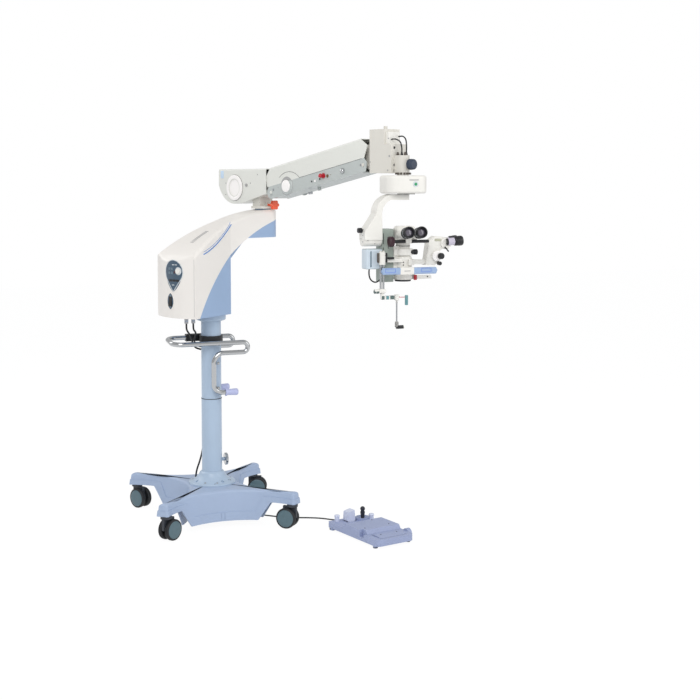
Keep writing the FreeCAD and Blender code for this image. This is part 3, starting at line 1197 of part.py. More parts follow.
def microscope():
    body = revolve([
        (0.0, S.lens_top), (S.body_radius - 6, S.lens_top), (S.body_radius - 6, S.body_low),
        (S.body_radius, S.body_low), (S.body_radius, S.body_shoulder),
        (S.body_radius - 12, S.body_top, 18), (S.turret_radius, S.body_top),
        (S.turret_radius, S.turret_top), (S.turret_neck_radius, S.turret_top),
        (S.turret_neck_radius, S.turret_neck_top), (0.0, S.turret_neck_top)])
    tongue = box(S.plate_right - S.plate_slot_depth + 1, S.plate_right + 6,
                 -S.carriage_tongue, S.carriage_tongue, S.carriage_low, S.carriage_top)
    saddle = box(S.plate_right + S.gap, -20, -S.carriage_half_depth, S.carriage_half_depth,
                 S.carriage_low, S.carriage_top)
    bar_mount = box(-S.bar_mount_half, S.bar_mount_half,
                    S.bar_front + S.bar_thick, -10, S.bar_low + 3, S.bar_top - 3)
    knob_bore = rod("x", S.zoom_x - 20, -30, S.zoom_z, 4 + S.running_fit, 60)
    slit = fuse(
        box(S.lens_radius + 4, S.slit_right, -S.slit_half_depth, S.slit_half_depth,
            S.slit_low, S.slit_top),
        box(S.lens_radius + 4, S.lens_radius + 14, -S.slit_half_depth, S.slit_half_depth,
            S.slit_low, S.lens_top + 12),
        box(20, S.lens_radius + 14, -S.slit_half_depth, S.slit_half_depth, S.lens_top + 2,
            S.lens_top + 12))
    turret_arm = box(S.plate_right + S.gap, 0, -26, 26, S.body_top, S.turret_top)
    arm_mount = box(S.lens_post_x, -20, S.lens_post_y + 4, S.lens_post_y + 18,
                    S.lens_post_low + 8, S.lens_post_low + 24)
    sleeve = rod("z", S.lens_post_x, S.lens_post_y, S.lens_post_low, S.lens_post_radius,
                 S.lens_post_top - S.lens_post_low)
    sleeve_bores = [rod("z", S.lens_post_x + sign * S.twin_tube_space, S.lens_post_y,
                        S.lens_post_low - 1, S.twin_tube_radius + S.running_fit,
                        S.lens_post_top - S.lens_post_low + 2) for sign in (-1, 1)]
    bottom = rod("z", 0, 0, S.lens_low, S.lens_radius + S.gap, S.lens_top - S.lens_low)
    scope = cut(fuse(body, tongue, saddle, bar_mount, slit, turret_arm, arm_mount, sleeve), knob_bore,
                bottom, *sleeve_bores)
    node("scope_body", scope, HEAD)

    front = S.bar_front
    bar = rounded(box(-S.bar_half_length, S.bar_half_length, front, front + S.bar_thick,
                      S.bar_low, S.bar_top), S.bar_round, lambda edge: True)
    node("handle_bar", bar, HEAD)

    node("zoom_knob", fuse(
        rod("x", S.zoom_x - 18, -30, S.zoom_z, 4, S.zoom_knob_length + 6),
        cone("x", S.turret_radius + 1, -30, S.zoom_z, S.zoom_knob_radius - 3,
             S.zoom_knob_radius, 6),
        rod("x", S.turret_radius + 6, -30, S.zoom_z, S.zoom_knob_radius,
            S.zoom_knob_length - 10)), HEAD)

    node("objective_ring", revolve([
        (0.0, S.lens_low + S.lens_bore_depth), (S.lens_bore, S.lens_low + S.lens_bore_depth),
        (S.lens_bore, S.lens_low), (S.lens_rim, S.lens_low),
        (S.lens_rim, S.lens_low + S.lens_rim_height),
        (S.lens_radius, S.lens_low + S.lens_rim_height), (S.lens_radius, S.lens_top - S.gap / 2),
        (0.0, S.lens_top - S.gap / 2)]), HEAD)

    x, half = S.lever_x, S.lever_half
    y = -S.slit_half_depth - S.gap
    node("aperture_lever", pad("XZ_Plane", [
        (x - half, (S.slit_low + S.slit_top) / 2), (x + half / 2, S.slit_low - 3),
        (x + half / 2, S.slit_top + 3)], y - S.lever_thick, y), HEAD)


def lens_arm():
    x, y = S.lens_post_x, S.lens_post_y
    tubes = [rod("z", x + sign * S.twin_tube_space, y, S.twin_tube_low, S.twin_tube_radius,
                 S.lens_post_top + 8 - S.twin_tube_low) for sign in (-1, 1)]
    half = S.clamp_block
    block_low = S.twin_tube_low - S.clamp_block_height + 4
    block = box(x - half, x + half, y - 11, y + 11, block_low, S.twin_tube_low + 4)
    knob = rod("-x", x - half + 1, y, block_low + S.clamp_block_height / 2,
               S.clamp_knob_radius, S.clamp_knob_length)
    reach = box(x - 4, S.swing_reach - S.swing_half - S.gap, y - 7, y + 7,
                S.swing_z - 7, S.swing_z + 7)
    drop = box(x - 6, x + 8, y - 7, y + 7, S.swing_z - 7, block_low + 1)
    pin = rod("x", S.swing_reach - S.swing_half - S.gap - 1, y, S.swing_z, S.swing_pin,
              2 * S.swing_half + 6)
    node("lens_arm_slider", fuse(*tubes, block, knob, reach, drop, pin), HEAD)

    sx = S.swing_reach
    holder = fuse(
        box(sx - S.swing_half, sx + S.swing_half, y - 10, y + 10, S.swing_z - 14,
            S.swing_z + 12),
        rod("x", sx + S.swing_half - 1, y - 8, S.swing_z, 2, S.grip_rod_length),
        rod("-z", sx + S.swing_half + S.grip_rod_length, y - 8, S.swing_z + 8,
            S.lens_grip_radius, S.lens_grip_length),
        rod("z", sx, y, S.drop_rod_low, S.drop_rod_radius, S.swing_z - S.drop_rod_low - 12),
        rod("z", sx, y, S.drop_rod_low - 10, S.lens_tip_radius, 24),
        rod("x", sx - 2, y, S.drop_rod_low - 12, S.lens_tip_radius, S.lens_tip))
    bore = rod("x", sx - S.swing_half - 1, y, S.swing_z, S.swing_pin + S.running_fit,
               2 * S.swing_half + 2)
    node("lens_holder", cut(holder, bore), HEAD)


def binocular():
    half = S.bino_half_width
    side = [
        (S.bino_rear, S.bino_low), (S.bino_rear, S.bino_top - 16),
        (S.bino_rear - 18, S.bino_top), (S.bino_front + 22, S.bino_top),
        (S.bino_front, S.bino_top - 22), (S.bino_front, S.bino_low + 8),
        (S.bino_front + 8, S.bino_low)]
    form = rounded(pad("YZ_Plane", side, -half, half), S.bino_round, bino_edge)
    foot = rod("z", 0, 0, S.turret_neck_top, S.bino_foot_radius,
               S.bino_low - S.turret_neck_top + 1)
    bar = rod("x", S.ipd_left, S.ipd_y, S.ipd_z, S.ipd_radius, S.ipd_right - S.ipd_left)
    knob = rod("-x", S.ipd_left + 2, S.ipd_y, S.ipd_z, S.ipd_knob_radius, S.ipd_knob_thick)
    lug = box(-14, 14, S.ipd_y - 9, S.bino_front + 20, S.ipd_z - 9, S.bino_low + 12)
    bores = []
    tilt = S.eye_tilt.number
    for sign in (-1, 1):
        bore = rod("z", 0, 0, 0, S.eye_tube_radius + S.running_fit, S.eye_tube_length + 60)
        bores.append(turn_eye(bore, sign * S.eye_space / 2, S.eye_start_y, S.eye_z, tilt, 0))
    node("binocular_housing", cut(fuse(form, foot, bar, knob, lug), *bores), HEAD)

    for name, sign in (("left", -1), ("right", 1)):
        end = S.eye_tube_length + S.eye_cup_length
        tube = revolve([
            (0.0, 1.0), (S.eye_tube_radius, 1.0), (S.eye_tube_radius, S.eye_tube_length),
            (S.eye_cup_radius - 4, S.eye_tube_length),
            (S.eye_cup_radius - 1, S.eye_tube_length + 12), (S.eye_cup_radius, end - 6),
            (S.eye_cup_radius - 4, end), (S.eye_bore + 4, end),
            (S.eye_bore, end - S.eye_bore_depth), (0.0, end - S.eye_bore_depth)])
        turn_eye(tube, sign * S.eye_space / 2, S.eye_start_y, S.eye_z, tilt, 0)
        node(f"eyepiece_{name}", tube, HEAD)


def turn_eye(item, x, y, z, tilt, yaw):
    """Aim a tube's own axis at the eye: towards -Y, raised by the tilt."""
    rotation = FreeCAD.Rotation(yaw, 0, 90 - tilt)
    item.Placement = FreeCAD.Placement(Vector(number_of(x), number_of(y), number_of(z)), rotation)
    return item


def bino_edge(edge):
    x0, x1, y0, y1, z0, z1 = edge_box(edge)
    return z0 > S.bino_top.number - 24 and x1 - x0 < 1


def assistant():
    half = S.aide_half_width
    side = [
        (S.aide_near, S.aide_low), (S.aide_foot, S.aide_low - 2),
        (S.aide_disc_x + 10, S.aide_low + 14), (S.aide_disc_x + 18, S.aide_cheek_z),
        (S.aide_far + 8, S.aide_cheek_z + 20), (S.aide_far, S.aide_far_top),
        (S.aide_corner, S.aide_top), (S.aide_near + 16, S.aide_side_top)]
    form = rounded(pad("XZ_Plane", side, -half, half), 6, aide_edge)
    link = box(S.body_radius + S.gap, S.aide_near + 8, -14, 14, S.aide_low + 4,
               S.body_shoulder - 6)
    collar = revolve([
        (S.body_radius + S.gap, S.aide_low + 2), (S.body_radius + 10, S.aide_low + 2),
        (S.body_radius + 10, S.body_shoulder - 4), (S.body_radius + S.gap, S.body_shoulder - 4)])
    disc = cone("-y", S.aide_disc_x, -half + 1, S.aide_disc_z, S.aide_disc_radius,
                S.aide_disc_radius - 3, S.aide_disc + 1)
    knob = rod("-y", S.aide_disc_x + 14, -half - S.aide_disc + 1, S.aide_disc_z,
               S.aide_knob_radius, S.aide_knob)
    bore = rod("y", S.aide_pivot_x, -half - 1, S.aide_pivot_z, S.prism_radius + S.gap,
               2 * half + 2)
    lobe = rod("-y", S.aide_disc_x + 8, -half + 1, S.aide_low + 8, 8, 18)
    half_collar = cut(collar, box(-S.body_radius - 20, 8, -S.body_radius - 20,
                                  S.body_radius + 20, S.aide_low, S.body_shoulder))
    node("assistant_arm", cut(fuse(form, disc, knob, lobe, link, half_collar), bore), HEAD)

    x, z = S.aide_pivot_x, S.aide_pivot_z
    barrel = rod("y", x, -S.prism_half_width, z, S.prism_radius, 2 * S.prism_half_width)
    tubes = []
    for sign in (-1, 1):
        end = S.aide_tube_length + S.aide_cup_length
        tube = revolve([
            (0.0, 0.0), (S.aide_tube_radius, 0.0), (S.aide_tube_radius, S.aide_tube_length),
            (S.aide_cup_radius - 3, S.aide_tube_length), (S.aide_cup_radius, end - 5),
            (S.aide_cup_radius - 4, end), (S.eye_bore, end), (S.eye_bore, end - 8),
            (0.0, end - 8)])
        tubes.append(turn_eye(tube, x, sign * S.aide_eye_space / 2, z + 6,
                              S.aide_tilt.number, 90))
    node("assistant_binocular", fuse(barrel, *tubes), HEAD)


def aide_edge(edge):
    x0, x1, y0, y1, z0, z1 = edge_box(edge)
    return y1 - y0 < 0.5 and z1 > S.aide_cheek_z.number


def export():
    doc.recompute()
    faults = [item.Label for item in doc.Objects
              if "Invalid" in item.State or "Error" in item.State]
    if faults:
        raise RuntimeError(f"failed objects: {faults}")
    os.makedirs("parts", exist_ok=True)
    for name, item in nodes.items():
        if item.Shape.isNull() or not item.Shape.isValid():
            raise RuntimeError(f"{name} has no valid shape")
        item.Shape.exportStep(f"parts/{name}.step")
    print(len(nodes), "nodes written")


base()
caster("front_left", -1, -1, 34)
caster("front_right", 1, -1, 139)
caster("rear_right", 1, 1, -20)
caster("rear_left", -1, 1, -59)
column()
push_rail()
column_cable()
housing_cables()
foot_switch()
pedal_cord()
lamp_housing()
arm()
beam()
levelling_rod()
arm_end()
head_cables()
xy_unit()
gooseneck()
focus_unit()
microscope()
lens_arm()
binocular()
assistant()
export()
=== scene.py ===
import bisect
import math
import bpy
from mathutils import Matrix, Vector


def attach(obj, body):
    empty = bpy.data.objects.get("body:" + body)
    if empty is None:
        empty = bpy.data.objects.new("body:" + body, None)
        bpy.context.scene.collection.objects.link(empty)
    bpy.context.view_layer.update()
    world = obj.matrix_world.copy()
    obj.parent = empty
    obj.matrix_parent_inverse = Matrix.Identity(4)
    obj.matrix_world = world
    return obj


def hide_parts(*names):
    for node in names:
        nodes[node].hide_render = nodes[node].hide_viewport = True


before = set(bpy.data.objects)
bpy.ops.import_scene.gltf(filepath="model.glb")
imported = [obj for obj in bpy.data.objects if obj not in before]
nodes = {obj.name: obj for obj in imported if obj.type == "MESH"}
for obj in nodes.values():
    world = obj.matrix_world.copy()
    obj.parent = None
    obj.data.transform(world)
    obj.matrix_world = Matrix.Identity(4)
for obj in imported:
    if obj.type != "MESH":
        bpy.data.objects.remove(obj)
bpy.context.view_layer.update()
print("frame loaded,", len(nodes), "nodes")

mm = 0.001  # one millimetre in metres


def linked(item):
    bpy.context.scene.collection.objects.link(item)
    return item


# the camera stands where the photograph was taken from
view = {"place": (-1.577, -6.079, 1.69), "heading": -20.97, "pitch": 4.0,
        "lens": 63.82, "shiftY": -0.1117}
cameraData = bpy.data.cameras.new("camera")
cameraData.sensor_width = 36
cameraData.lens = view["lens"]
cameraData.shift_y = view["shiftY"]
cameraData.clip_end = 60
camera = linked(bpy.data.objects.new("camera", cameraData))
camera.location = view["place"]
camera.rotation_euler = (math.radians(90 - view["pitch"]), 0, math.radians(view["heading"]))
bpy.context.scene.camera = camera


# upright frames of the housing, arm, head and foot switch, in metres; sizes below are millimetres
def standing(origin, yaw):
    return Matrix.Translation(origin) @ Matrix.Rotation(math.radians(yaw), 4, "Z")


world = Matrix.Identity(4)
housingFrame = standing((0, 0, 0), 24)
armFrame = standing(housingFrame @ Vector((0.355, 0, 0)), -69)
headFrame = standing(armFrame @ Vector((1.040, 0, 0)), 0)
pedalFrame = standing((0.621, -0.610, 0), 13)
beamFrame = (standing(armFrame @ Vector((0.1376, 0, 1.653)), -69)
             @ Matrix.Rotation(math.radians(-10.73), 4, "Y"))


# screen colour from 0 to 255 as the light values that the shader takes
def paint(red, green, blue):
    levels = [c / 255 for c in (red, green, blue)]
    levels = [c / 12.92 if c <= 0.04045 else ((c + 0.055) / 1.055) ** 2.4 for c in levels]
    return (*levels, 1.0)


# slow colour drift, uneven gloss and a fine moulded, sprayed or brushed grain
def finish(name, screen, rough=0.4, spread=0.08, metal=0.0, mottle=0.03, driftSize=7.0,
           grain=900.0, grainHeight=0.00012, coat=0.0, level=0.5, stretch=(1, 1, 1)):
    colour = paint(*screen)
    material = bpy.data.materials.new(name)
    material.use_nodes = True
    tree = material.node_tree
    shader = tree.nodes["Principled BSDF"]
    shader.inputs["Metallic"].default_value = metal
    shader.inputs["Coat Weight"].default_value = coat
    shader.inputs["Coat Roughness"].default_value = 0.12
    shader.inputs["Specular IOR Level"].default_value = level
    place = tree.nodes.new("ShaderNodeTexCoord")
    turn = tree.nodes.new("ShaderNodeMapping")
    turn.inputs["Scale"].default_value = stretch
    tree.links.new(place.outputs["Object"], turn.inputs["Vector"])

    def noise(scale, detail):
        texture = tree.nodes.new("ShaderNodeTexNoise")
        texture.inputs["Scale"].default_value = scale
        texture.inputs["Detail"].default_value = detail
        tree.links.new(turn.outputs["Vector"], texture.inputs["Vector"])
        return texture.outputs["Fac"]

    tones = tree.nodes.new("ShaderNodeValToRGB")
    low, high = tones.color_ramp.elements
    low.position, high.position = 0.3, 0.7
    low.color = (*[c * (1 - mottle) for c in colour[:3]], 1)
    high.color = (*[min(1, c * (1 + mottle)) for c in colour[:3]], 1)
    tree.links.new(noise(driftSize, 3), tones.inputs["Fac"])
    tree.links.new(tones.outputs["Color"], shader.inputs["Base Color"])

    gloss = tree.nodes.new("ShaderNodeMapRange")
    gloss.inputs["To Min"].default_value = max(0.02, rough - spread)
    gloss.inputs["To Max"].default_value = min(1.0, rough + spread)
    tree.links.new(noise(26, 4), gloss.inputs["Value"])
    tree.links.new(gloss.outputs["Result"], shader.inputs["Roughness"])

    bump = tree.nodes.new("ShaderNodeBump")
    bump.inputs["Strength"].default_value = 0.35
    bump.inputs["Distance"].default_value = grainHeight
    tree.links.new(noise(grain, 2), bump.inputs["Height"])
    tree.links.new(bump.outputs["Normal"], shader.inputs["Normal"])
    return material


coverPlastic = finish("coverPlastic", (164, 181, 208), 0.42, mottle=0.02, grain=700)
columnPaint = finish("columnPaint", (172, 191, 212), 0.34, mottle=0.015)
castPaint = finish("castPaint", (48, 52, 60), 0.5, mottle=0.06)
tyreRubber = finish("tyreRubber", (27, 29, 33), 0.62, mottle=0.12, grain=400)
discPlastic = finish("discPlastic", (84, 108, 117), 0.38, mottle=0.04)
chrome = finish("chrome", (186, 188, 190), 0.12, 0.05, metal=1.0, mottle=0.01,
                grain=1800, grainHeight=0.00002)
steel = finish("steel", (170, 172, 176), 0.3, metal=1.0, grain=500,
               grainHeight=0.00006, stretch=(1, 1, 0.04))
gripPlastic = finish("gripPlastic", (184, 190, 226), 0.45, mottle=0.02)
clampPaint = finish("clampPaint", (22, 23, 27), 0.45, mottle=0.08)
jacketRubber = finish("jacketRubber", (20, 21, 24), 0.5, mottle=0.1, grain=1400)
switchPlastic = finish("switchPlastic", (154, 165, 198), 0.45, grain=650,
                       grainHeight=0.0003)
switchRubber = finish("switchRubber", (38, 41, 52), 0.6, mottle=0.1, grain=600)
switchPale = finish("switchPale", (206, 212, 232), 0.32, mottle=0.02)
housingBlue = finish("housingBlue", (150, 175, 208), 0.36, mottle=0.02)
hubGrey = finish("hubGrey", (212, 210, 203), 0.4, mottle=0.02)
housingWhite = finish("housingWhite", (236, 232, 227), 0.34, mottle=0.01)
panelSmoke = finish("panelSmoke", (56, 80, 100), 0.18, mottle=0.06, coat=0.4)
plateGrey = finish("plateGrey", (206, 212, 216), 0.3, mottle=0.02)
armWhite = finish("armWhite", (222, 223, 217), 0.36, mottle=0.01)
armGrey = finish("armGrey", (184, 190, 188), 0.38, mottle=0.02)
knobBlack = finish("knobBlack", (25, 26, 30), 0.38, mottle=0.1)
knobRed = finish("knobRed", (180, 26, 44), 0.25, mottle=0.05, coat=0.3)
knobOrange = finish("knobOrange", (238, 84, 36), 0.3, mottle=0.04, coat=0.2)
knobBlue = finish("knobBlue", (42, 54, 74), 0.4, mottle=0.12)
bracketPaint = finish("bracketPaint", (214, 211, 203), 0.4, mottle=0.015)
headWhite = finish("headWhite", (229, 227, 221), 0.34, mottle=0.012)
buttonGreen = finish("buttonGreen", (34, 146, 90), 0.22, mottle=0.04, coat=0.4)
focusPaint = finish("focusPaint", (150, 160, 152), 0.4, mottle=0.03)
barPaint = finish("barPaint", (150, 173, 206), 0.35, mottle=0.02)
maroonPlastic = finish("maroonPlastic", (60, 30, 42), 0.4, mottle=0.12)
gripTeal = finish("gripTeal", (96, 146, 150), 0.22, mottle=0.06, coat=0.5)
lensGlass = finish("lensGlass", (30, 38, 62), 0.05, 0.02, mottle=0.1, coat=1.0, level=0.9)
gapShadow = finish("gapShadow", (44, 46, 50), 0.7, mottle=0.08)
stripeBlue = finish("stripeBlue", (64, 128, 200), 0.3, mottle=0.03)
tubeViolet = finish("tubeViolet", (196, 190, 206), 0.38, mottle=0.02)
slateField = finish("slateField", (96, 116, 130), 0.3, mottle=0.05)
ventGrey = finish("ventGrey", (168, 168, 168), 0.5, mottle=0.04)
discWhite = finish("discWhite", (250, 247, 245), 0.3, mottle=0.01)
labelBlue = finish("labelBlue", (196, 218, 240), 0.35, mottle=0.02)
bronze = finish("bronze", (120, 98, 66), 0.35, metal=0.6, mottle=0.08)
darkTaupe = finish("darkTaupe", (82, 74, 68), 0.5, mottle=0.08)
knobPale = finish("knobPale", (98, 122, 148), 0.35, mottle=0.06)
padBlue = finish("padBlue", (112, 136, 214), 0.35, mottle=0.04)
eyeGlass = finish("eyeGlass", (84, 78, 92), 0.08, 0.03, mottle=0.2, coat=1.0, level=0.8)
khakiPlate = finish("khakiPlate", (178, 178, 158), 0.4, mottle=0.03)
knobSlate = finish("knobSlate", (86, 104, 102), 0.35, mottle=0.1)
boxBlue = finish("boxBlue", (200, 212, 222), 0.36, mottle=0.02)
rodPink = finish("rodPink", (214, 160, 164), 0.3, metal=0.4, mottle=0.03)
print("finishes made")

# the free cord from the base to the foot switch, on the route of its CAD tube, in metres
cordRoute = [(0.118, -0.012, 0.044), (0.154, -0.015, 0.040), (0.190, -0.032, 0.017),
             (0.232, -0.062, 0.0037), (0.276, -0.108, 0.0037), (0.326, -0.152, 0.0037),
             (0.384, -0.186, 0.0037), (0.444, -0.210, 0.0037), (0.500, -0.240, 0.0037),
             (0.538, -0.286, 0.0047)]
cordRoute += [tuple(pedalFrame @ Vector((-0.019, 0.272, 0.018))),
              tuple(pedalFrame @ Vector((-0.020, 0.232, 0.022)))]
cordLine = bpy.data.curves.new("pedalCord", "CURVE")
cordLine.dimensions = "3D"
cordLine.bevel_depth = 0.0035
cordLine.bevel_resolution = 5
cordLine.resolution_u = 12
cordLine.use_fill_caps = True
cordSpline = cordLine.splines.new("NURBS")
cordSpline.points.add(len(cordRoute) - 1)
for point, spot in zip(cordSpline.points, cordRoute):
    point.co = (*spot, 1.0)
cordSpline.order_u = 3
cordSpline.use_endpoint_u = True
cordLine.materials.append(jacketRubber)
pedalCord = linked(bpy.data.objects.new("pedalCord", cordLine))
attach(pedalCord, "stand")
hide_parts("pedal_cord")
print("cord laid")

# finishes of the CAD nodes that are seen as they are
nodeFinishes = (
    (coverPlastic, "base_frame"), (columnPaint, "column_lower column_upper column_flange"),
    (chrome, "push_rail"), (gripPlastic, "rail_grips"), (clampPaint, "rail_clamp"),
    (jacketRubber, "column_cable housing_cables head_cables"),
    (castPaint, "caster_fork_front_left caster_fork_front_right caster_fork_rear_right "
                "caster_fork_rear_left"),
    (switchPlastic, "pedal_housing pedal_focus_rocker"), (switchRubber, "pedal_joystick"),
    (switchPale, "pedal_zoom_rocker pedal_button_left pedal_button_right"),
    (housingBlue, "housing_lower"), (housingWhite, "housing_shell"),
    (panelSmoke, "control_panel"), (hubGrey, "arm_hub"), (armWhite, "pivot_box arm_cover"),
    (knobOrange, "arm_lock_knob"), (armGrey, "arm_channel"), (knobRed, "lift_lock_knob"),
    (steel, "levelling_rod"), (bracketPaint, "end_bracket"), (knobBlue, "swivel_brake_knob"),
    (buttonGreen, "xy_reset_button"), (gapShadow, "xy_slide_plate"),
    (knobBlack, "power_rocker tilt_knob assistant_binocular"), (focusPaint, "focus_plate"),
    (barPaint, "handle_bar"),
    (headWhite, "end_cover xy_housing gooseneck scope_body objective_ring lens_arm_slider "
                "lens_holder binocular_housing assistant_arm"))
for material, names in nodeFinishes:
    for name in names.split():
        nodes[name].data.materials.clear()
        nodes[name].data.materials.append(material)
print("CAD nodes dressed")


def mode(name):
    bpy.ops.object.mode_set(mode=name)


def selectMesh():
    bpy.ops.mesh.select_all(action="SELECT")


# a place in a frame whose own Z runs along the axis
def at(frameHere, x, y, z, axis=(0, 0, 1)):
    turn = Vector((0, 0, 1)).rotation_difference(Vector(axis)).to_matrix().to_4x4()
    return frameHere @ Matrix.Translation(Vector((x, y, z)) * mm) @ turn


def alone(item):
    bpy.ops.object.select_all(action="DESELECT")
    item.select_set(True)
    bpy.context.view_layer.objects.active = item


def applyModifiers(item):
    alone(item)
    for name in [modifier.name for modifier in item.modifiers]:
        bpy.ops.object.modifier_apply(modifier=name)


def pickFaces(item, test):
    mode("OBJECT")
    alone(item)
    mode("EDIT")
    bpy.ops.mesh.select_mode(type="FACE")
    bpy.ops.mesh.select_all(action="DESELECT")
    mode("OBJECT")
    for face in item.data.polygons:
        face.select = test(face)
    mode("EDIT")


def placed(item, place):
    mode("OBJECT")
    item.data.transform(place)
    return item


# a turned piece: rings of (radius, height) along its own Z
def turned(name, place, rings, sides=48, flutes=None):
    bpy.ops.object.select_all(action="DESELECT")
    bpy.ops.mesh.primitive_circle_add(vertices=sides, radius=rings[0][0] * mm)
    item = bpy.context.object
    item.name = name
    mode("EDIT")
    bpy.ops.mesh.select_mode(type="VERT")
    selectMesh()
    bpy.ops.transform.translate(value=(0, 0, rings[0][1] * mm))
    for (radius, low), (nextRadius, high) in zip(rings, rings[1:]):
        bpy.ops.mesh.extrude_region_move(
            TRANSFORM_OT_translate={"value": (0, 0, (high - low) * mm)})
        widen = nextRadius / radius
        bpy.ops.transform.resize(value=(widen, widen, 1), center_override=(0, 0, 0))
    bpy.ops.mesh.edge_face_add()
    bpy.ops.mesh.select_mode(type="EDGE")
    bpy.ops.mesh.select_all(action="DESELECT")
    bpy.ops.mesh.select_non_manifold()
    bpy.ops.mesh.edge_face_add()
    selectMesh()
    bpy.ops.mesh.normals_make_consistent(inside=False)
    if flutes:
        low, high, depth, wide = flutes
        step = 2 * math.pi / sides

        def onFlute(face):
            centre = face.center
            inRange = low * mm < centre.z < high * mm and abs(face.normal.z) < 0.5
            return inRange and int(math.atan2(centre.y, centre.x) // step) % 2 == 0
        pickFaces(item, onFlute)
        bpy.ops.mesh.inset(thickness=wide * mm, depth=-depth * mm, use_individual=True)
    return placed(item, place)


# a block with soft edges, and where asked a sunk or raised panel on one face
def block(name, place, x0, x1, y0, y1, z0, z1, edge=1.5, panel=None):
    bpy.ops.object.select_all(action="DESELECT")
    bpy.ops.mesh.primitive_cube_add(size=1)
    item = bpy.context.object
    item.name = name
    mode("EDIT")
    bpy.ops.mesh.select_mode(type="EDGE")
    selectMesh()
    size = ((x1 - x0) * mm, (y1 - y0) * mm, (z1 - z0) * mm)
    bpy.ops.transform.resize(value=size, center_override=(0, 0, 0))
    bpy.ops.mesh.bevel(offset=edge * mm, segments=3, affect="EDGES")
    if panel:
        direction, rim, sink = panel
        item.update_from_editmode()
        facing = [f for f in item.data.polygons if f.normal.dot(Vector(direction)) > 0.99]
        largest = max(facing, key=lambda f: f.area).index
        pickFaces(item, lambda face: face.index == largest)
        bpy.ops.mesh.inset(thickness=rim * mm, depth=0)
        bpy.ops.mesh.inset(thickness=0.4 * mm, depth=sink * mm)
    middle = Vector(((x0 + x1) / 2, (y0 + y1) / 2, (z0 + z1) / 2)) * mm
    return placed(item, place @ Matrix.Translation(middle))


# a flat plate from a closed outline in its own XY plane, with a soft rim
def plate(name, place, outline, thick, rim=0.4):
    line = bpy.data.curves.new(name, "CURVE")
    line.dimensions = "2D"
    line.fill_mode = "BOTH"
    line.extrude = max(thick / 2 - rim, 0.01) * mm
    line.bevel_depth = rim * mm
    line.bevel_resolution = 1
    spline = line.splines.new("POLY")
    spline.points.add(len(outline) - 1)
    for point, (x, y) in zip(spline.points, outline):
        point.co = (x * mm, y * mm, 0, 1)
    spline.use_cyclic_u = True
    item = linked(bpy.data.objects.new(name, line))
    alone(item)
    bpy.ops.object.convert(target="MESH")
    item = bpy.context.object
    mode("EDIT")
    selectMesh()
    bpy.ops.mesh.remove_doubles(threshold=0.00001)
    bpy.ops.mesh.normals_make_consistent(inside=False)
    return placed(item, place)


def roundedOutline(width, height, corner, steps=6):
    points = []
    for number, (sx, sy) in enumerate(((1, 1), (-1, 1), (-1, -1), (1, -1))):
        for step in range(steps + 1):
            angle = math.radians(90 * (number + step / steps))
            points.append((sx * (width / 2 - corner) + corner * math.cos(angle),
                           sy * (height / 2 - corner) + corner * math.sin(angle)))
    return points


# a round line through a smooth run of control points given in a frame
def wire(name, frameHere, points, radius, closed=False, order=3):
    line = bpy.data.curves.new(name, "CURVE")
    line.dimensions = "3D"
    line.bevel_depth = radius * mm
    line.bevel_resolution = 4
    line.resolution_u = 8
    line.use_fill_caps = not closed
    spline = line.splines.new("NURBS" if order > 2 else "POLY")
    spline.points.add(len(points) - 1)
    for point, spot in zip(spline.points, points):
        point.co = (*(frameHere @ (Vector(spot) * mm)), 1)
    if order > 2:
        spline.order_u = order
        spline.use_endpoint_u = not closed
    spline.use_cyclic_u = closed
    item = linked(bpy.data.objects.new(name, line))
    alone(item)
    bpy.ops.object.convert(target="MESH")
    return bpy.context.object


def copied(item, name, matrix):
    twin = linked(bpy.data.objects.new(name, item.data.copy()))
    twin.data.transform(matrix)
    return twin


def joined(name, *items):
    alone(items[0])
    for item in items[1:]:
        item.select_set(True)
    if len(items) > 1:
        bpy.ops.object.join()
    items[0].name = name
    return items[0]


# give a piece its finish, smooth it and let it ride on its body
def done(item, material, body, stands=(), angle=32):
    item.data.materials.clear()
    item.data.materials.append(material)
    alone(item)
    bpy.ops.object.shade_smooth_by_angle(angle=math.radians(angle))
    bpy.ops.object.select_all(action="DESELECT")
    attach(item, body)
    if stands:
        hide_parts(*stands)
    return item


# a turned piece with its finish, on its body
def spun(name, place, rings, sides, material, body, stands=(), flutes=None):
    return done(turned(name, place, rings, sides, flutes), material, body, stands)


# socket screws on a face: spots are places whose Z points out of the face
def screws(name, spots, radius, material, body, height=1.2):
    first = turned(name, world, [(radius, -1), (radius, height - 0.4), (radius - 0.4, height),
                                 (radius * 0.55, height), (radius * 0.5, height - 0.9),
                                 (radius * 0.1, height - 0.9)], 16)
    others = [copied(first, name + "Copy", spot) for spot in spots[1:]]
    first.data.transform(spots[0])
    return done(joined(name, first, *others), material, body)


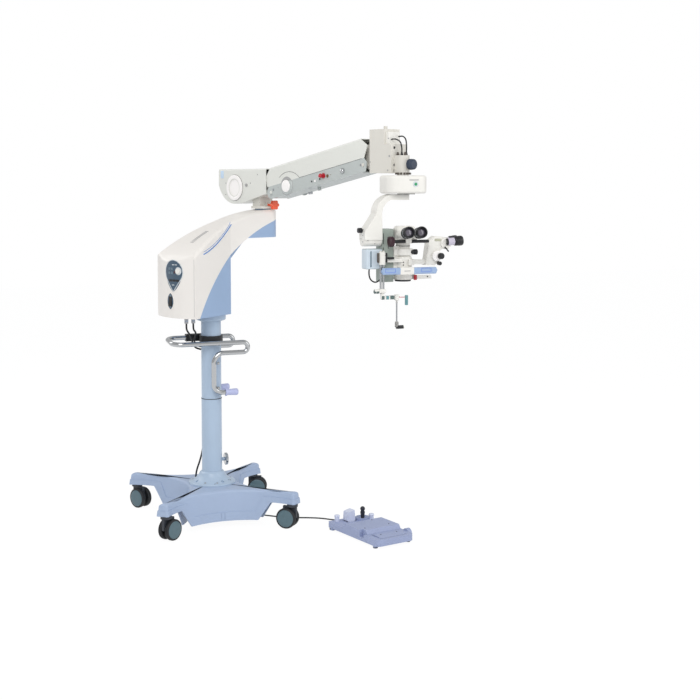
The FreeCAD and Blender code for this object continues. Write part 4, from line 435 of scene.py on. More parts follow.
# twin-wheel casters: tyre, dished disc and hub cap, modelled once and copied to eight places
casterSize = {"x": 316, "y": 346, "trail": 26, "radius": 51, "tyreWide": 23, "gap": 10}
casters = {"front_left": (-1, -1, 34), "front_right": (1, -1, 139),
           "rear_right": (1, 1, -20), "rear_left": (-1, 1, -59)}
rim, wide, tread = casterSize["radius"], casterSize["tyreWide"], 0.9
tyreRings = [(34, 1.5), (44, 0.4), (47.5, 1.2), (50, 3.4), (rim, 6.5), (rim, 8.2),
             (rim - tread, 8.6), (rim - tread, 9.4), (rim, 9.8), (rim, 13.2),
             (rim - tread, 13.6), (rim - tread, 14.4), (rim, 14.8), (rim, 16.5),
             (50, 19.6), (47.5, 21.8), (45.4, wide - 0.4), (43.6, wide), (42.6, wide - 1.4),
             (40, wide - 2)]
discRings = [(36, 2.6), (42.8, wide - 3), (42.2, wide - 0.8), (40.6, wide + 0.2),
             (34, wide + 0.9), (22, wide + 1.6), (12, wide + 1.9), (10, wide + 1.5),
             (3.8, wide + 1.6), (0.6, wide + 1.6)]
tyreModel = turned("tyreModel", world, tyreRings, 72)
discModel = turned("discModel", world, discRings, 56)
for corner, (signX, signY, heading) in casters.items():
    pivot = Vector((signX * casterSize["x"], signY * casterSize["y"], 0)) * mm
    carriage = (Matrix.Translation(pivot) @ Matrix.Rotation(math.radians(heading), 4, "Z")
                @ Matrix.Translation(Vector((casterSize["trail"], 0, rim)) * mm))
    sides = [at(carriage, 0, sign * casterSize["gap"], 0, (0, sign, 0)) for sign in (-1, 1)]
    done(joined("casterTyres_" + corner,
                *[copied(tyreModel, f"tyre{i}_{corner}", s) for i, s in enumerate(sides)]),
         tyreRubber, corner + "_wheels", ["caster_wheels_" + corner])
    discs = joined("casterDiscs_" + corner,
                   *[copied(discModel, f"disc{i}_{corner}", s) for i, s in enumerate(sides)])
    axle = turned("casterAxle_" + corner, at(carriage, 0, -14, 0, (0, 1, 0)),
                  [(5.5, 0), (6, 0.6), (6, 27.4), (5.5, 28)], 24)
    done(joined("casterDiscs_" + corner, discs, axle), discPlastic, corner + "_wheels")
bpy.data.objects.remove(tyreModel)
bpy.data.objects.remove(discModel)
print("casters made")

# cord glands and the column's seam ring
glandRings = [(9.4, 0), (9.4, 6), (7.6, 7), (7.2, 11), (6.4, 12), (6.2, 16), (5.4, 17),
              (5.2, 21), (4.6, 22), (4.4, 27), (3.7, 28)]
spun("baseCordRelief", at(world, 118, -12, 44, (0.985, -0.103, -0.138)),
     [(r, h - 6) for r, h in glandRings], 32, jacketRubber, "stand")
spun("pedalCordRelief", at(pedalFrame, -20, 214, 22, (0, 1, 0)),
     [(r, h - 2) for r, h in glandRings], 32, jacketRubber, "stand")
spun("columnSeamRing", at(housingFrame, 0, 0, 611),
     [(51.2, 0), (52.2, 0.6), (52.2, 2.6), (51, 3.2)], 96, gapShadow, "stand")


# a place on a CAD node where a ray in the given frame meets it: Z points out, X runs along
def touch(nodeName, frameHere, start, heading, along=(1, 0, 0), out=0.0):
    node = nodes[nodeName]
    back = node.matrix_world.inverted()
    origin = back @ (frameHere @ (Vector(start) * mm))
    way = (back.to_3x3() @ (frameHere.to_3x3() @ Vector(heading))).normalized()
    found, spot, normal, face = node.ray_cast(origin, way)
    if not found:
        raise ValueError("nothing of " + nodeName + " in the way")
    normal = (node.matrix_world.to_3x3() @ normal).normalized()
    spot = node.matrix_world @ spot + normal * out * mm
    side = frameHere.to_3x3() @ Vector(along)
    side = (side - normal * side.dot(normal)).normalized()
    basis = Matrix((side, normal.cross(side), normal)).transposed().to_4x4()
    return Matrix.Translation(spot) @ basis


def carve(item, cutter, way="DIFFERENCE"):
    change = item.modifiers.new("carve", "BOOLEAN")
    change.operation = way
    change.solver = "EXACT"
    change.object = cutter
    applyModifiers(item)
    bpy.data.objects.remove(cutter)


# base cover: lofted moulding with soft top edges, wheel arches, a proud lower band and seams
cover = {"x": 372, "y": 384, "noseX": 312, "noseY": 334, "front": 210, "side": 138,
         "endX": 1.976, "endY": 1.507, "shiftX": 0.245, "shiftY": 0.345,
         "low": 30, "high": 180, "round": 14, "lean": math.tan(math.radians(3.5)),
         "soft": 13, "wall": 4, "band": 2.4, "bandTop": 73, "archGrow": 38}


def coverOutline(grow, steps=440):
    halfX = cover["x"] + cover["endX"] * grow
    halfY = cover["y"] + cover["endY"] * grow
    noseX = cover["noseX"] - cover["shiftX"] * grow
    noseY = cover["noseY"] - cover["shiftY"] * grow
    line = []
    for turn, chord, sag, waist in ((0, noseX, halfY - cover["front"] - grow, cover["front"]),
                                    (1, noseY, halfX - cover["side"] - grow, cover["side"]),
                                    (2, noseX, halfY - cover["front"] - grow, cover["front"]),
                                    (3, noseY, halfX - cover["side"] - grow, cover["side"])):
        radius = (chord * chord + sag * sag) / (2 * sag)
        reach = math.asin(chord / radius)
        for step in range(61):
            angle = reach * (step / 30 - 1)
            across = radius * math.sin(angle)
            out = waist + grow + radius - radius * math.cos(angle)
            line.append(((across, -out), (out, across), (-across, out),
                         (-out, -across))[turn])
    lengths = [0.0]
    for a, b in zip(line, line[1:] + line[:1]):
        lengths.append(lengths[-1] + math.dist(a, b))
    whole = lengths[-1]

    def along(distance):
        distance %= whole
        index = min(bisect.bisect_right(lengths, distance) - 1, len(line) - 1)
        share = (distance - lengths[index]) / max(lengths[index + 1] - lengths[index], 1e-9)
        a, b = line[index], line[(index + 1) % len(line)]
        return a[0] + (b[0] - a[0]) * share, a[1] + (b[1] - a[1]) * share

    start = lengths[30]
    outline = []
    for i in range(steps):
        spots = [along(start + whole * i / steps + cover["soft"] * k / 4)
                 for k in range(-4, 5)]
        outline.append((sum(s[0] for s in spots) / 9, sum(s[1] for s in spots) / 9))
    return outline


# the skirt's leaning side and soft top edge as (height, growth), from the bottom up
def coverSide(grow, low, high, soft):
    layers = [(z, grow - (z - cover["low"]) * cover["lean"])
              for z in (low, 52, 76, 100, 124, high - soft) if z == low or z <= high - soft]
    for step in range(1, 7):
        angle = math.radians(15 * step)
        layers.append((high - soft + soft * math.sin(angle),
                       layers[-step][1] - soft * (1 - math.cos(angle))))
    return layers + [(high, layers[-1][1] - 1.5)]


def coverForm(name, layers):
    points, faces = [], []
    for z, grow in layers:
        points += [(x * mm, y * mm, z * mm) for x, y in coverOutline(grow)]
    count = len(points) // len(layers)
    for level in range(len(layers) - 1):
        for i in range(count):
            a, b = level * count + i, level * count + (i + 1) % count
            faces.append((a, b, b + count, a + count))
    for ring, z in ((0, layers[0][0]), (len(layers) - 1, layers[-1][0])):
        points.append((0, 0, z * mm))
        faces += [(ring * count + i, ring * count + (i + 1) % count, len(points) - 1)
                  for i in range(count)]
    mesh = bpy.data.meshes.new(name)
    mesh.from_pydata(points, [], faces)
    item = linked(bpy.data.objects.new(name, mesh))
    alone(item)
    mode("EDIT")
    selectMesh()
    bpy.ops.mesh.normals_make_consistent(inside=False)
    mode("OBJECT")
    return item


def archCutter(grow, lift):
    rings = [(178 + grow, 25), (176 + grow, 29), (117 + grow, 114 + lift),
             (114.5 + grow, 118 + lift), (111 + grow, 120 + lift), (40, 120 + lift)]
    spread = casterSize["x"], casterSize["y"]
    cones = [turned(f"arch{x}{y}", at(world, x * spread[0], y * spread[1], 0), rings, 72)
             for x in (-1, 1) for y in (-1, 1)]
    return joined("arches", *cones)


outside = coverSide(0, cover["low"], cover["high"], cover["round"])
inside = coverSide(-cover["wall"], cover["low"], cover["high"] - cover["wall"],
                   cover["round"] - 2)
coverShell = coverForm("coverShell", outside[::-1] + inside)
carve(coverShell, archCutter(0, 0))
bandSide = coverSide(cover["band"], cover["low"] - 0.4, 168, 4)
coverBand = coverForm("coverBand", bandSide[::-1] + coverSide(-0.8, cover["low"] - 0.4, 164, 4))
bandRegion = block("bandRegion", world, -430, 430, -430, 430, 20, cover["bandTop"], 0.4)
carve(bandRegion, archCutter(cover["archGrow"], cover["archGrow"] - 11), "UNION")
carve(coverBand, bandRegion, "INTERSECT")
carve(coverBand, archCutter(-0.4, 0.4))
for x in (-8.5, 8.5):
    carve(coverBand, block("bandSeam", world, x - 0.9, x + 0.9, -240, -190, 20, 80, 0.1))
for half, sign in (("Front", -1), ("Rear", 1)):
    part = joined("baseCover" + half, copied(coverShell, "shell" + half, world),
                  copied(coverBand, "band" + half, world))
    alone(part)
    mode("EDIT")
    selectMesh()
    bpy.ops.mesh.bisect(plane_co=(0, sign * 0.0008, 0), plane_no=(0, -sign, 0),
                        clear_outer=True)
    mode("OBJECT")
    done(part, coverPlastic, "stand", ["base_cover_" + half.lower()], angle=38)
bpy.data.objects.remove(coverShell)
bpy.data.objects.remove(coverBand)
print("base cover made")

# column: bright foot knob, flange screws and the rail's small hardware
spun("columnFootKnob", at(world, 52, 0, 294, (1, 0, 0)),
     [(7.6, 0), (7.6, 12), (11, 14.4), (28, 14.4), (30.6, 16.4), (30.6, 26), (29, 27.8),
      (22, 28.6), (20, 27.2), (6, 27.2), (4, 29), (0.6, 29)], 32, chrome, "stand",
     flutes=(16, 27, 1.6, 1.4))
flangeSpots = [touch("column_flange", housingFrame, (x, y, 300), (0, 0, -1))
               for x, y in ((-84, -50), (-40, -90), (50, -84), (88, -40), (-70, 70), (70, 70))]
screws("flangeScrews", flangeSpots, 4.6, steel, "stand", 1.6)
for number, spot in enumerate(flangeSpots[:4]):
    done(block(f"flangeMark{number}", spot, -17, -9, -1.2, 1.2, -0.4, 0.6, 0.3), gapShadow,
         "stand")
railBolts = [(18.7, -92.4, 801), (18.7, -92.4, 676), (18.7, 92.4, 816)]
for number, (x, y, z) in enumerate(railBolts):
    spun(f"railBolt{number}", at(world, x - 9, y * 0.98, z, (1, 0, 0)),
         [(7.4, -3), (7.4, 6), (6.2, 7.6), (1, 7.8)], 24, chrome, "stand")
for number, (x, y) in enumerate(((-172, -22), (-140, -36))):
    spun(f"cablePlug{number}", at(housingFrame, x, y, 1006),
         [(6, 0), (9.8, 1), (9.8, 12), (9, 12.6), (9, 15), (9.9, 15.6), (9.9, 24), (9.9, 34)], 28,
         steel, "housing")
print("column details made")

rearFace = {"radius": 266, "x": 11}


# a place on the bulged rear face: Z points out, X to the left of the housing and Y up
def onRear(y, z, out=0.0):
    radius = rearFace["radius"]
    lean = y / radius
    face = math.sqrt(1 - lean * lean)
    spot = Vector((rearFace["x"] - (radius + out) * face, (radius + out) * lean, z)) * mm
    basis = Matrix(((-lean, 0, -face, 0), (-face, 0, lean, 0), (0, 1, 0, 0), (0, 0, 0, 1)))
    return housingFrame @ Matrix.Translation(spot) @ basis


def rearLine(name, outline, y, z, out, radius, material):
    points = []
    for across, up in outline:
        points.append(housingFrame.inverted() @ onRear(y - across, z + up, out).translation
                      * (1 / mm))
    return done(wire(name, housingFrame, points, radius, True, 2), material, "housing")


display = {"y": -28, "z": 1266, "radius": 57, "tip": 1171}


def teardrop(grow):
    radius = display["radius"] + grow
    reach = display["z"] - display["tip"] + grow
    lean = math.acos(radius / reach)
    start = -math.pi / 2 + lean
    points = [(radius * math.cos(start + (2 * math.pi - 2 * lean) * step / 64),
               radius * math.sin(start + (2 * math.pi - 2 * lean) * step / 64))
              for step in range(65)]
    last, first = points[64], points[0]
    for share in (0.3, 0.6, 0.85):
        points.append((last[0] * (1 - share), last[1] * (1 - share) - reach * share))
    points.append((0, -reach + 3))
    for share in (0.85, 0.6, 0.3):
        points.append((first[0] * (1 - share), first[1] * (1 - share) - reach * share))
    return points


rearLine("displayRim", teardrop(2.2), display["y"], display["z"], 0.6, 2.2, plateGrey)
for number, (y, z, width, height, material) in enumerate((
        (-8, 1225, 22, 10, knobBlack), (-32, 1225, 20, 10, knobBlack),
        (-55, 1225, 22, 10, knobBlack), (-30, 1302, 16, 3.4, plateGrey),
        (-48, 1302, 12, 3.4, plateGrey), (-2, 1282, 14, 12, slateField),
        (-20, 1282, 14, 12, slateField), (-2, 1262, 14, 12, slateField),
        (-20, 1262, 14, 12, slateField), (-38, 1266, 10, 14, maroonPlastic),
        (-28, 1203, 16, 3, plateGrey))):
    done(plate(f"displayField{number}", onRear(y, z, 1.5),
               roundedOutline(width, height, min(width, height) * 0.3), 1.4, 0.3), material,
         "housing")
spun("dialSurround", onRear(-62, 1272, 0.6), [(19, 0), (19, 1.6), (18, 2.4), (14, 2.4)], 40,
     plateGrey, "housing")
spun("brightnessDial", onRear(-62, 1272, 2.6),
     [(12.4, -2), (13.4, -1), (13.4, 6), (12, 8), (1, 8.6)], 40, headWhite, "brightness_dial",
     ["brightness_knob"], flutes=(-0.5, 5.9, 0.5, 0.4))
lensShape = [(24 * math.cos(a) * abs(math.cos(a)) ** 0.3, 41 * math.sin(a))
             for a in [2 * math.pi * i / 48 for i in range(48)]]
rearLine("switchRim", lensShape, -6, 1122, 0.4, 1.8, housingWhite)
for number, (z, high) in enumerate(((1150, 10), (1095, 8))):
    done(plate(f"switchPad{number}", onRear(-6, z, 1.2), roundedOutline(12, high, 3), 1.6),
         slateField, "housing")
print("rear panel made")


# housing side: seam, plain stripe and the vent along the spine
def sideLine(name, points, radius, material):
    line = [housingFrame.inverted() @ touch("housing_shell", housingFrame, (x, -400, z),
                                            (0, 1, 0)).translation * (1 / mm)
            for x, z in points]
    return done(wire(name, housingFrame, line, radius, False, 2), material, "housing")


sideLine("sideSeam", [(-217.6, z) for z in range(1050, 1346, 20)], 0.9, ventGrey)
stripe = {"x": -150, "z": 1352, "step": 9, "rise": 2.6, "bend": 0.12, "count": 26}
for number, (lift, radius) in enumerate(((0, 2.6), (12, 1.1))):
    sideLine(f"sideStripe{number}",
             [(stripe["x"] + stripe["step"] * k,
               stripe["z"] + lift + stripe["rise"] * k + stripe["bend"] * k * k)
              for k in range(stripe["count"])], radius, stripeBlue)
vents = {"x": -132, "y": -22, "pitch": 9.2, "count": 11}
slots = []
for step in range(vents["count"]):
    over = (vents["x"] + vents["pitch"] * step, vents["y"], 1700)
    place = touch("housing_shell", housingFrame, over, (0, 0, -1), out=0.4)
    slots.append(block(f"vent{step}", place, -2.8, 2.8, -13, 13, -2.4, 0.6, 0.4))
done(joined("spineVent", *slots), ventGrey, "housing")
print("housing side made")

# arm: side covers' discs, dots, knobs and rubber pads, placed on the near and far faces
near = (0, -1, 0)
boxDisc = {"x": -165, "z": 1676}
beamDisc = {"x": 130, "z": 8}
beamSide = 57
for side in (-1, 1):
    label = "near" if side < 0 else "far"
    outward = (0, side, 0)
    spun(label + "BoxDiscGap", at(armFrame, boxDisc["x"], side * 61.6, boxDisc["z"], outward),
         [(69, 0), (69, 0.9), (2, 0.9)], 72, gapShadow, "turntable")
    spun(label + "BoxDiscRing", at(armFrame, boxDisc["x"], side * 62, boxDisc["z"], outward),
         [(67.4, 0), (67.4, 4), (66, 6), (62, 6.6), (49, 6.6), (46.6, 5.4), (45, 2.4), (2, 2.2)],
         72, discWhite, "turntable")
    spun(label + "BeamDiscGap", at(beamFrame, beamDisc["x"], side * 56.6, beamDisc["z"], outward),
         [(47.4, 0), (47.4, 0.8), (2, 0.8)], 64, ventGrey, "lift_arm")
    spun(label + "BeamDiscCap", at(beamFrame, beamDisc["x"], side * 61, beamDisc["z"], outward),
         [(31, 0), (31, 3.6), (29, 6.4), (24, 7.4), (1, 8)], 56, discWhite, "lift_arm")
# name, x, z, radius, finish, height
beamDots = [("beamDotA", 325, -6, 4.6, knobBlack, 1.6), ("beamDotB", 387, -6, 4.6, knobBlack, 1.6),
            ("beamPlug", 350, -8, 6, discWhite, 1.4), ("beamBronze", 446, -2, 8, bronze, 2.4),
            ("beamScrewEnd", 690, 2, 6, steel, 1.4), ("beamScrewStart", 20, 10, 6, steel, 1.4),
            ("beamMark", 60, 14, 3.4, ventGrey, 1.0), ("beamMarkLow", 470, -1, 2.4, bronze, 1.0)]
for name, x, z, radius, material, height in beamDots:
    for side in (-1, 1):
        if side > 0 and material is bronze:
            continue
        spun(f"{name}{side + 1}", at(beamFrame, x, side * beamSide, z, (0, side, 0)),
             [(radius, -1), (radius, height - 0.5), (radius - 0.6, height), (radius * 0.5, height),
              (radius * 0.42, height - 0.8), (0.6, height - 0.8)], 24, material, "lift_arm")
spun("beamStopDome", at(beamFrame, 560, -beamSide, 0, near),
     [(13, -1), (12.8, 4), (11, 9), (7, 12.4), (1, 13.6)], 32, chrome, "lift_arm")
spun("beamUnderStud", at(beamFrame, 262, -20, -47, (0, 0, -1)),
     [(11, 0), (11.6, 1.4), (11.6, 9), (9.6, 11), (1, 11.4)], 28, steel, "lift_arm",
     flutes=(1.5, 8.9, 0.5, 0.5))
seamLine = [(236, 31), (330, 31), (480, 31), (600, 31), (700, 31)]
done(wire("beamSeam", beamFrame, [(x, -57.2, z) for x, z in seamLine], 0.8, False, 2), gapShadow,
     "lift_arm")
beamArch = {"x": 139.4, "z": -47.3, "radius": 124.4, "y": -57.2}
archLine = [(beamArch["x"] + beamArch["radius"] * math.cos(math.radians(a)), beamArch["y"],
             beamArch["z"] + beamArch["radius"] * math.sin(math.radians(a)))
            for a in range(39, 120, 4)]
done(wire("beamArchLine", beamFrame, archLine, 0.9, False, 2), gapShadow, "lift_arm")
done(block("boxRearPlate", at(armFrame, -277, -62, 1746, near), -13, 13, -20, 20, -1, 1.2, 1.1),
     labelBlue, "turntable")
spun("boxAdjustKnob", at(armFrame, -64, -61, 1690, near),
     [(8, 0), (8, 5), (7, 6), (4, 6.4), (3.4, 9), (0.6, 9)], 24, ventGrey, "turntable",
     flutes=(0.5, 4.9, 0.8, 0.5))
boxDots = [at(armFrame, x, -62, z, near) for x, z in ((-244, 1700), (-246, 1640), (-30, 1700),
                                                     (30, 1744), (140, 1640))]
screws("boxScrews", boxDots, 3.2, ventGrey, "turntable", 1.2)
done(block("boxEndPad", armFrame, 54.6, 60, -50, 50, 1702, 1768, 2), jacketRubber, "turntable")
hubDots = [touch("arm_hub", armFrame, (x, -200, 1600), (0, 1, 0)) for x in (-30, 20)]
screws("hubScrews", hubDots, 2.6, ventGrey, "turntable", 1.0)
print("arm details made")

# bracket and swivel: round marks, label bay, cable plugs, knob ring and tooth ring
for name, spot, normal, radius, material in (
        ("bracketDotA", (-107, 139.1, 1797.7), (-0.93, -0.36, 0), 3, ventGrey),
        ("bracketDotB", (-64.5, 28.5, 1757.5), (-0.93, -0.36, 0), 4, ventGrey),
        ("bracketDotC", (-60.6, 18.3, 1822.8), (-0.93, -0.36, 0), 5, ventGrey),
        ("bracketDotD", (-37.4, 15.7, 1861.4), (0.36, -0.93, 0), 6, knobBlack),
        ("bracketDotE", (-35.7, 15, 1781.8), (0.36, -0.93, 0), 6.4, knobBlack),
        ("bracketDotF", (-55, 42.1, 1904.3), (-0.54, -0.84, 0), 3.4, ventGrey)):
    spun(name, at(headFrame, *spot, normal),
         [(radius, -1.5), (radius, 1), (radius - 0.8, 1.8), (0.8, 1.8)], 24, material, "arm_end")
done(block("bracketLowBlock", armFrame, 1002, 1012, -34, 20, 1747, 1763, 1), darkTaupe, "arm_end")
for number, (x, y) in enumerate(((1037, -5), (1051, 10), (1022, -16), (1060, -6))):
    spun(f"cableSocket{number}", at(armFrame, x, y, 1824),
         [(6.4, 0), (6.4, 9), (5, 10.4), (4.6, 16), (3.4, 17)], 24,
         knobBlack if number < 2 else darkTaupe, "arm_end", flutes=(1, 8.9, 0.6, 0.5))
spun("brakeKnobRing", at(armFrame, 1080, 0, 1784, (1, 0, 0)),
     [(20, 0), (24.6, 4), (25, 6.4), (25, 19), (23, 22.4), (18, 23.4), (15, 21.4), (12, 21),
      (11, 23), (1, 23.4)], 40, knobBlue, "swivel_brake",
     flutes=(6.5, 18.9, 1.6, 1.2))
spun("brakeKnobFace", at(armFrame, 1080, 0, 1784, (1, 0, 0)),
     [(16, 20), (16, 22.6), (14.6, 23.6), (11.4, 23.6), (10.6, 22), (1, 22)], 36, knobPale,
     "swivel_brake")
toothCount = 14
teeth = []
for step in range(toothCount):
    turn = Matrix.Rotation(math.radians(360 / toothCount * step), 4, "Z")
    teeth.append(block(f"tooth{step}", headFrame @ turn, 31, 37, -4.5, 4.5, 1738, 1747, 0.6))
done(joined("swivelTeeth", *teeth), darkTaupe, "xy_unit")
spun("resetButtonRing", at(headFrame, 28, -79.6, 1694, near),
     [(14, 0), (14, 1.2), (13, 2), (10.6, 2)], 36, plateGrey, "xy_unit")
done(plate("xyLabelBay", at(headFrame, 20, -80.2, 1713, near), roundedOutline(46, 4, 1.8), 1),
     ventGrey, "xy_unit")
done(block("xyLowStrip", headFrame, -46, 34, -60, -40, 1648, 1653, 1), gapShadow, "xy_unit")
print("bracket details made")

# gooseneck, focus plate and cable box
neckDots = [at(headFrame, -202, y, z, (-1, 0, 0)) for y, z in ((-10, 1462), (12, 1446),
                                                              (-8, 1432))]
screws("neckScrews", neckDots, 3.4, ventGrey, "neck", 1.2)
neckFace = [touch("gooseneck", headFrame, (x, -200, z), (0, 1, 0))
            for x, z in ((-186, 1440), (-150, 1424))]
screws("neckFaceScrews", neckFace, 3, ventGrey, "neck", 1.2)
spun("tiltKnobCap", at(headFrame, -203, 0, 1484, (-1, 0, 0)),
     [(9, 0), (11.6, 1), (11.6, 18), (10, 20.4), (1, 20.8)], 24, knobBlack, "tilt_drive",
     flutes=(1.5, 17.9, 1.0, 0.8))
focusFace = touch("focus_plate", headFrame, (-92, -200, 1440), (0, 1, 0))
for number, (x, z0, z1, wide) in enumerate(((-14, -20, 30, 3), (-14, -64, -34, 3),
                                            (8, 4, 12, 4), (10, -40, -28, 3))):
    done(block(f"focusSlot{number}", focusFace, x - wide / 2, x + wide / 2, z0, z1, -0.6, 0.7,
               0.3), gapShadow, "focus")
done(block("cableBoxCover", headFrame, -191, -113.2, -27, 35, 1307, 1399, 5,
           panel=((0, -1, 0), 7, -0.8)), boxBlue, "focus")
done(block("cableBoxStrip", headFrame, -172, -166, -28, -24, 1316, 1390, 1.4), slateField, "focus")
loopLine = [(-168, -4, 1312), (-172, -6, 1290), (-168, -10, 1262), (-150, -14, 1246),
            (-128, -12, 1248), (-112, -8, 1262)]
done(wire("focusCableLoop", headFrame, loopLine, 3.4), jacketRubber, "focus")
print("neck details made")

# microscope body: marks, handle pads, turret ring, objective rim and glass
scopeDots = [touch("scope_body", headFrame, (-14, -200, z), (0, 1, 0)) for z in (1337, 1324)]
screws("scopeScrews", scopeDots, 2.8, knobBlack, "scope", 1.0)
done(block("turretSidePad", headFrame, -92, -64, -52, -36, 1352, 1362, 1.4), knobBlack, "scope")
spun("zoomKnobCap", at(headFrame, 22, -30, 1383, (1, 0, 0)),
     [(9, 0), (10, 1), (10, 18), (12.6, 19.4), (12.6, 34), (11, 36), (6, 36.4), (5, 35), (1, 35)],
     32, knobBlack, "zoom", ["zoom_knob"], flutes=(20, 33.9, 0.9, 0.6))
done(block("handleSleeve", headFrame, -48, 20, -87.2, -65.4, 1283, 1316, 2.4), headWhite, "scope")
done(plate("handleMark", at(headFrame, -14, -87.4, 1300, near), roundedOutline(30, 3, 1.4), 0.8),
     ventGrey, "scope")
for number, x in enumerate((80.3, -97.3)):
    frameLine = [(x + a, -86.2, 1302.5 + b) for a, b in roundedOutline(49.3, 17, 4)]
    done(wire(f"handlePad{number}", headFrame, frameLine, 1.1, True, 2), padBlue, "scope")
for number, x in enumerate((-134, 134)):
    spun(f"handleEnd{number}", at(headFrame, x, -76, 1299.5, (math.copysign(1, x), 0, 0)),
         [(9, -3), (9, 1), (6, 3.4), (1, 4)], 28, barPaint, "scope")
spun("objectiveRim", at(headFrame, 0, 0, 1257, (0, 0, -1)),
     [(37.6, 0), (37.8, 1), (37.8, 8), (36.6, 9.6), (32, 9.6), (30.6, 8), (30, 4), (2, 4)], 64,
     knobBlack, "scope")
spun("objectiveGlass", at(headFrame, 0, 0, 1257, (0, 0, -1)),
     [(30, 3), (30, 5), (20, 6.6), (10, 7.4), (1, 7.6)], 48, lensGlass, "scope")
spun("slitPlateDot", at(headFrame, 120, -12.4, 1266, near), [(3, -1), (3, 0.8), (0.6, 0.8)], 20,
     knobBlack, "scope")
done(block("apertureLeverCap", headFrame, 48.4, 63, -22, -12, 1252, 1276, 2.4), knobRed,
     "aperture", ["aperture_lever"])
print("scope details made")

# eyepieces with fluted focus rings, rubber cups and glass; the spacing rods and knob
eyes = {"apart": 31, "y": -34, "z": 1460, "tilt": math.radians(9)}
eyeWay = (0, -math.cos(eyes["tilt"]), math.sin(eyes["tilt"]))
for side, sign in (("left", -1), ("right", 1)):
    eyePlace = at(headFrame, sign * eyes["apart"], eyes["y"], eyes["z"], eyeWay)
    spun(side + "EyeTube", eyePlace, [(19.6, 2), (19.8, 70), (21.4, 71), (22.6, 74), (22.6, 76)],
         56, headWhite, side + "_eyepiece")
    spun(side + "Eyepiece", eyePlace,
         [(21, 74), (25.4, 75.4), (26.4, 77), (26.4, 92), (25, 93.6), (25, 96), (26.6, 97.4),
          (27, 101), (27.2, 112), (26.2, 117.4), (24.6, 120), (22.6, 120.4), (21, 118.6),
          (18.4, 108), (17.6, 105), (4, 105)], 72, knobBlack, side + "_eyepiece",
         ["eyepiece_" + side], flutes=(77, 92, 0.9, 0.5))
    spun(side + "EyeGlass", eyePlace,
         [(16.4, 104), (16.4, 106), (12, 107.6), (6, 108.6), (1, 109)], 40, eyeGlass,
         side + "_eyepiece")
    spun(side + "EyeBand", eyePlace, [(25.4, 92.6), (25.9, 93), (25.9, 96.4), (25.4, 97)], 56,
         plateGrey, side + "_eyepiece")
spun("spacingKnob", at(headFrame, -73, -60, 1433, (-1, 0, 0)),
     [(15, 0), (22.4, 1), (23.8, 3), (23.8, 18), (22.4, 21.4), (14, 22), (12, 21.4), (3, 21.4)],
     40, maroonPlastic, "binocular", flutes=(3.5, 17.9, 1.2, 0.9))
for number, (x0, x1) in enumerate(((-73, -14), (14, 102.6))):
    spun(f"spacingRod{number}", at(headFrame, x0, -60, 1433, (1, 0, 0)),
         [(7.2, 0), (7.5, 0.6), (7.5, x1 - x0 - 1), (6.6, x1 - x0)], 28, knobBlack, "binocular")
done(block("spacingLug", headFrame, -10, 20, -68, -52, 1424, 1440, 3), knobBlack, "binocular")
spun("turretSeam", at(headFrame, 0, 0, 1409), [(33, 0), (33.4, 0.4), (33.4, 3), (33, 3.4)], 56,
     gapShadow, "binocular")
print("binocular made")

# assistant's arm and binocular
khaki = touch("assistant_arm", headFrame, (166, -200, 1436), (0, 1, 0), out=0.4)
done(plate("assistantPlate", khaki, roundedOutline(30, 11, 1.6), 1.6), khakiPlate, "assistant")
spun("assistantDisc", at(headFrame, 160, -30, 1362, near),
     [(24.6, 0), (24.6, 3), (23, 5.4), (19, 6.6), (1, 6.8)], 48, discWhite, "assistant")
spun("assistantKnob", at(headFrame, 174, -35.6, 1362, near),
     [(12, 0), (14.4, 1), (14.4, 16), (13, 18.4), (8, 18.8), (7, 18), (1, 18)], 36, knobBlack,
     "assistant", flutes=(1.5, 15.9, 0.8, 0.6))
spun("assistantLobe", at(headFrame, 168, -29, 1328, near),
     [(9.2, 0), (9.2, 18.4), (8, 19.6), (1, 20)], 24, knobBlack, "assistant",
     flutes=(1, 18.3, 0.8, 0.5))
done(wire("assistantLever", headFrame, [(196, -34, 1404), (204, -38, 1396), (214, -40, 1382)],
          3.2), knobBlack, "assistant_eyes")
spun("assistantPrism", at(headFrame, 206, 31, 1420, near),
     [(22, 0), (26.4, 0.4), (27.6, 1.4), (27.6, 60), (26, 62), (20, 62.6), (18, 61.6), (1, 61.6)],
     56, headWhite, "assistant_eyes")
aide = {"x": 206, "apart": 28, "z": 1426, "tilt": math.radians(4)}
aideWay = (math.cos(aide["tilt"]), 0, math.sin(aide["tilt"]))
for number, sign in enumerate((-1, 1)):
    aidePlace = at(headFrame, aide["x"], sign * aide["apart"], aide["z"], aideWay)
    spun(f"assistantTube{number}", aidePlace,
         [(17.4, 8), (17.4, 40), (16.6, 41), (16.6, 43), (18, 44.4)], 44, tubeViolet,
         "assistant_eyes")
    spun(f"assistantCup{number}", aidePlace,
         [(17, 43), (21, 44), (22, 46), (22, 58), (21, 60), (23.2, 63), (23.4, 76), (22, 81.4),
          (20, 82.4), (18, 80.6), (15.6, 75), (4, 75)], 56, knobBlack, "assistant_eyes",
         flutes=(46, 58, 0.8, 0.5))
    spun(f"assistantGlass{number}", aidePlace, [(14.6, 74.4), (14.6, 76), (10, 77.4), (1, 78.2)],
         36, eyeGlass, "assistant_eyes")
print("assistant details made")

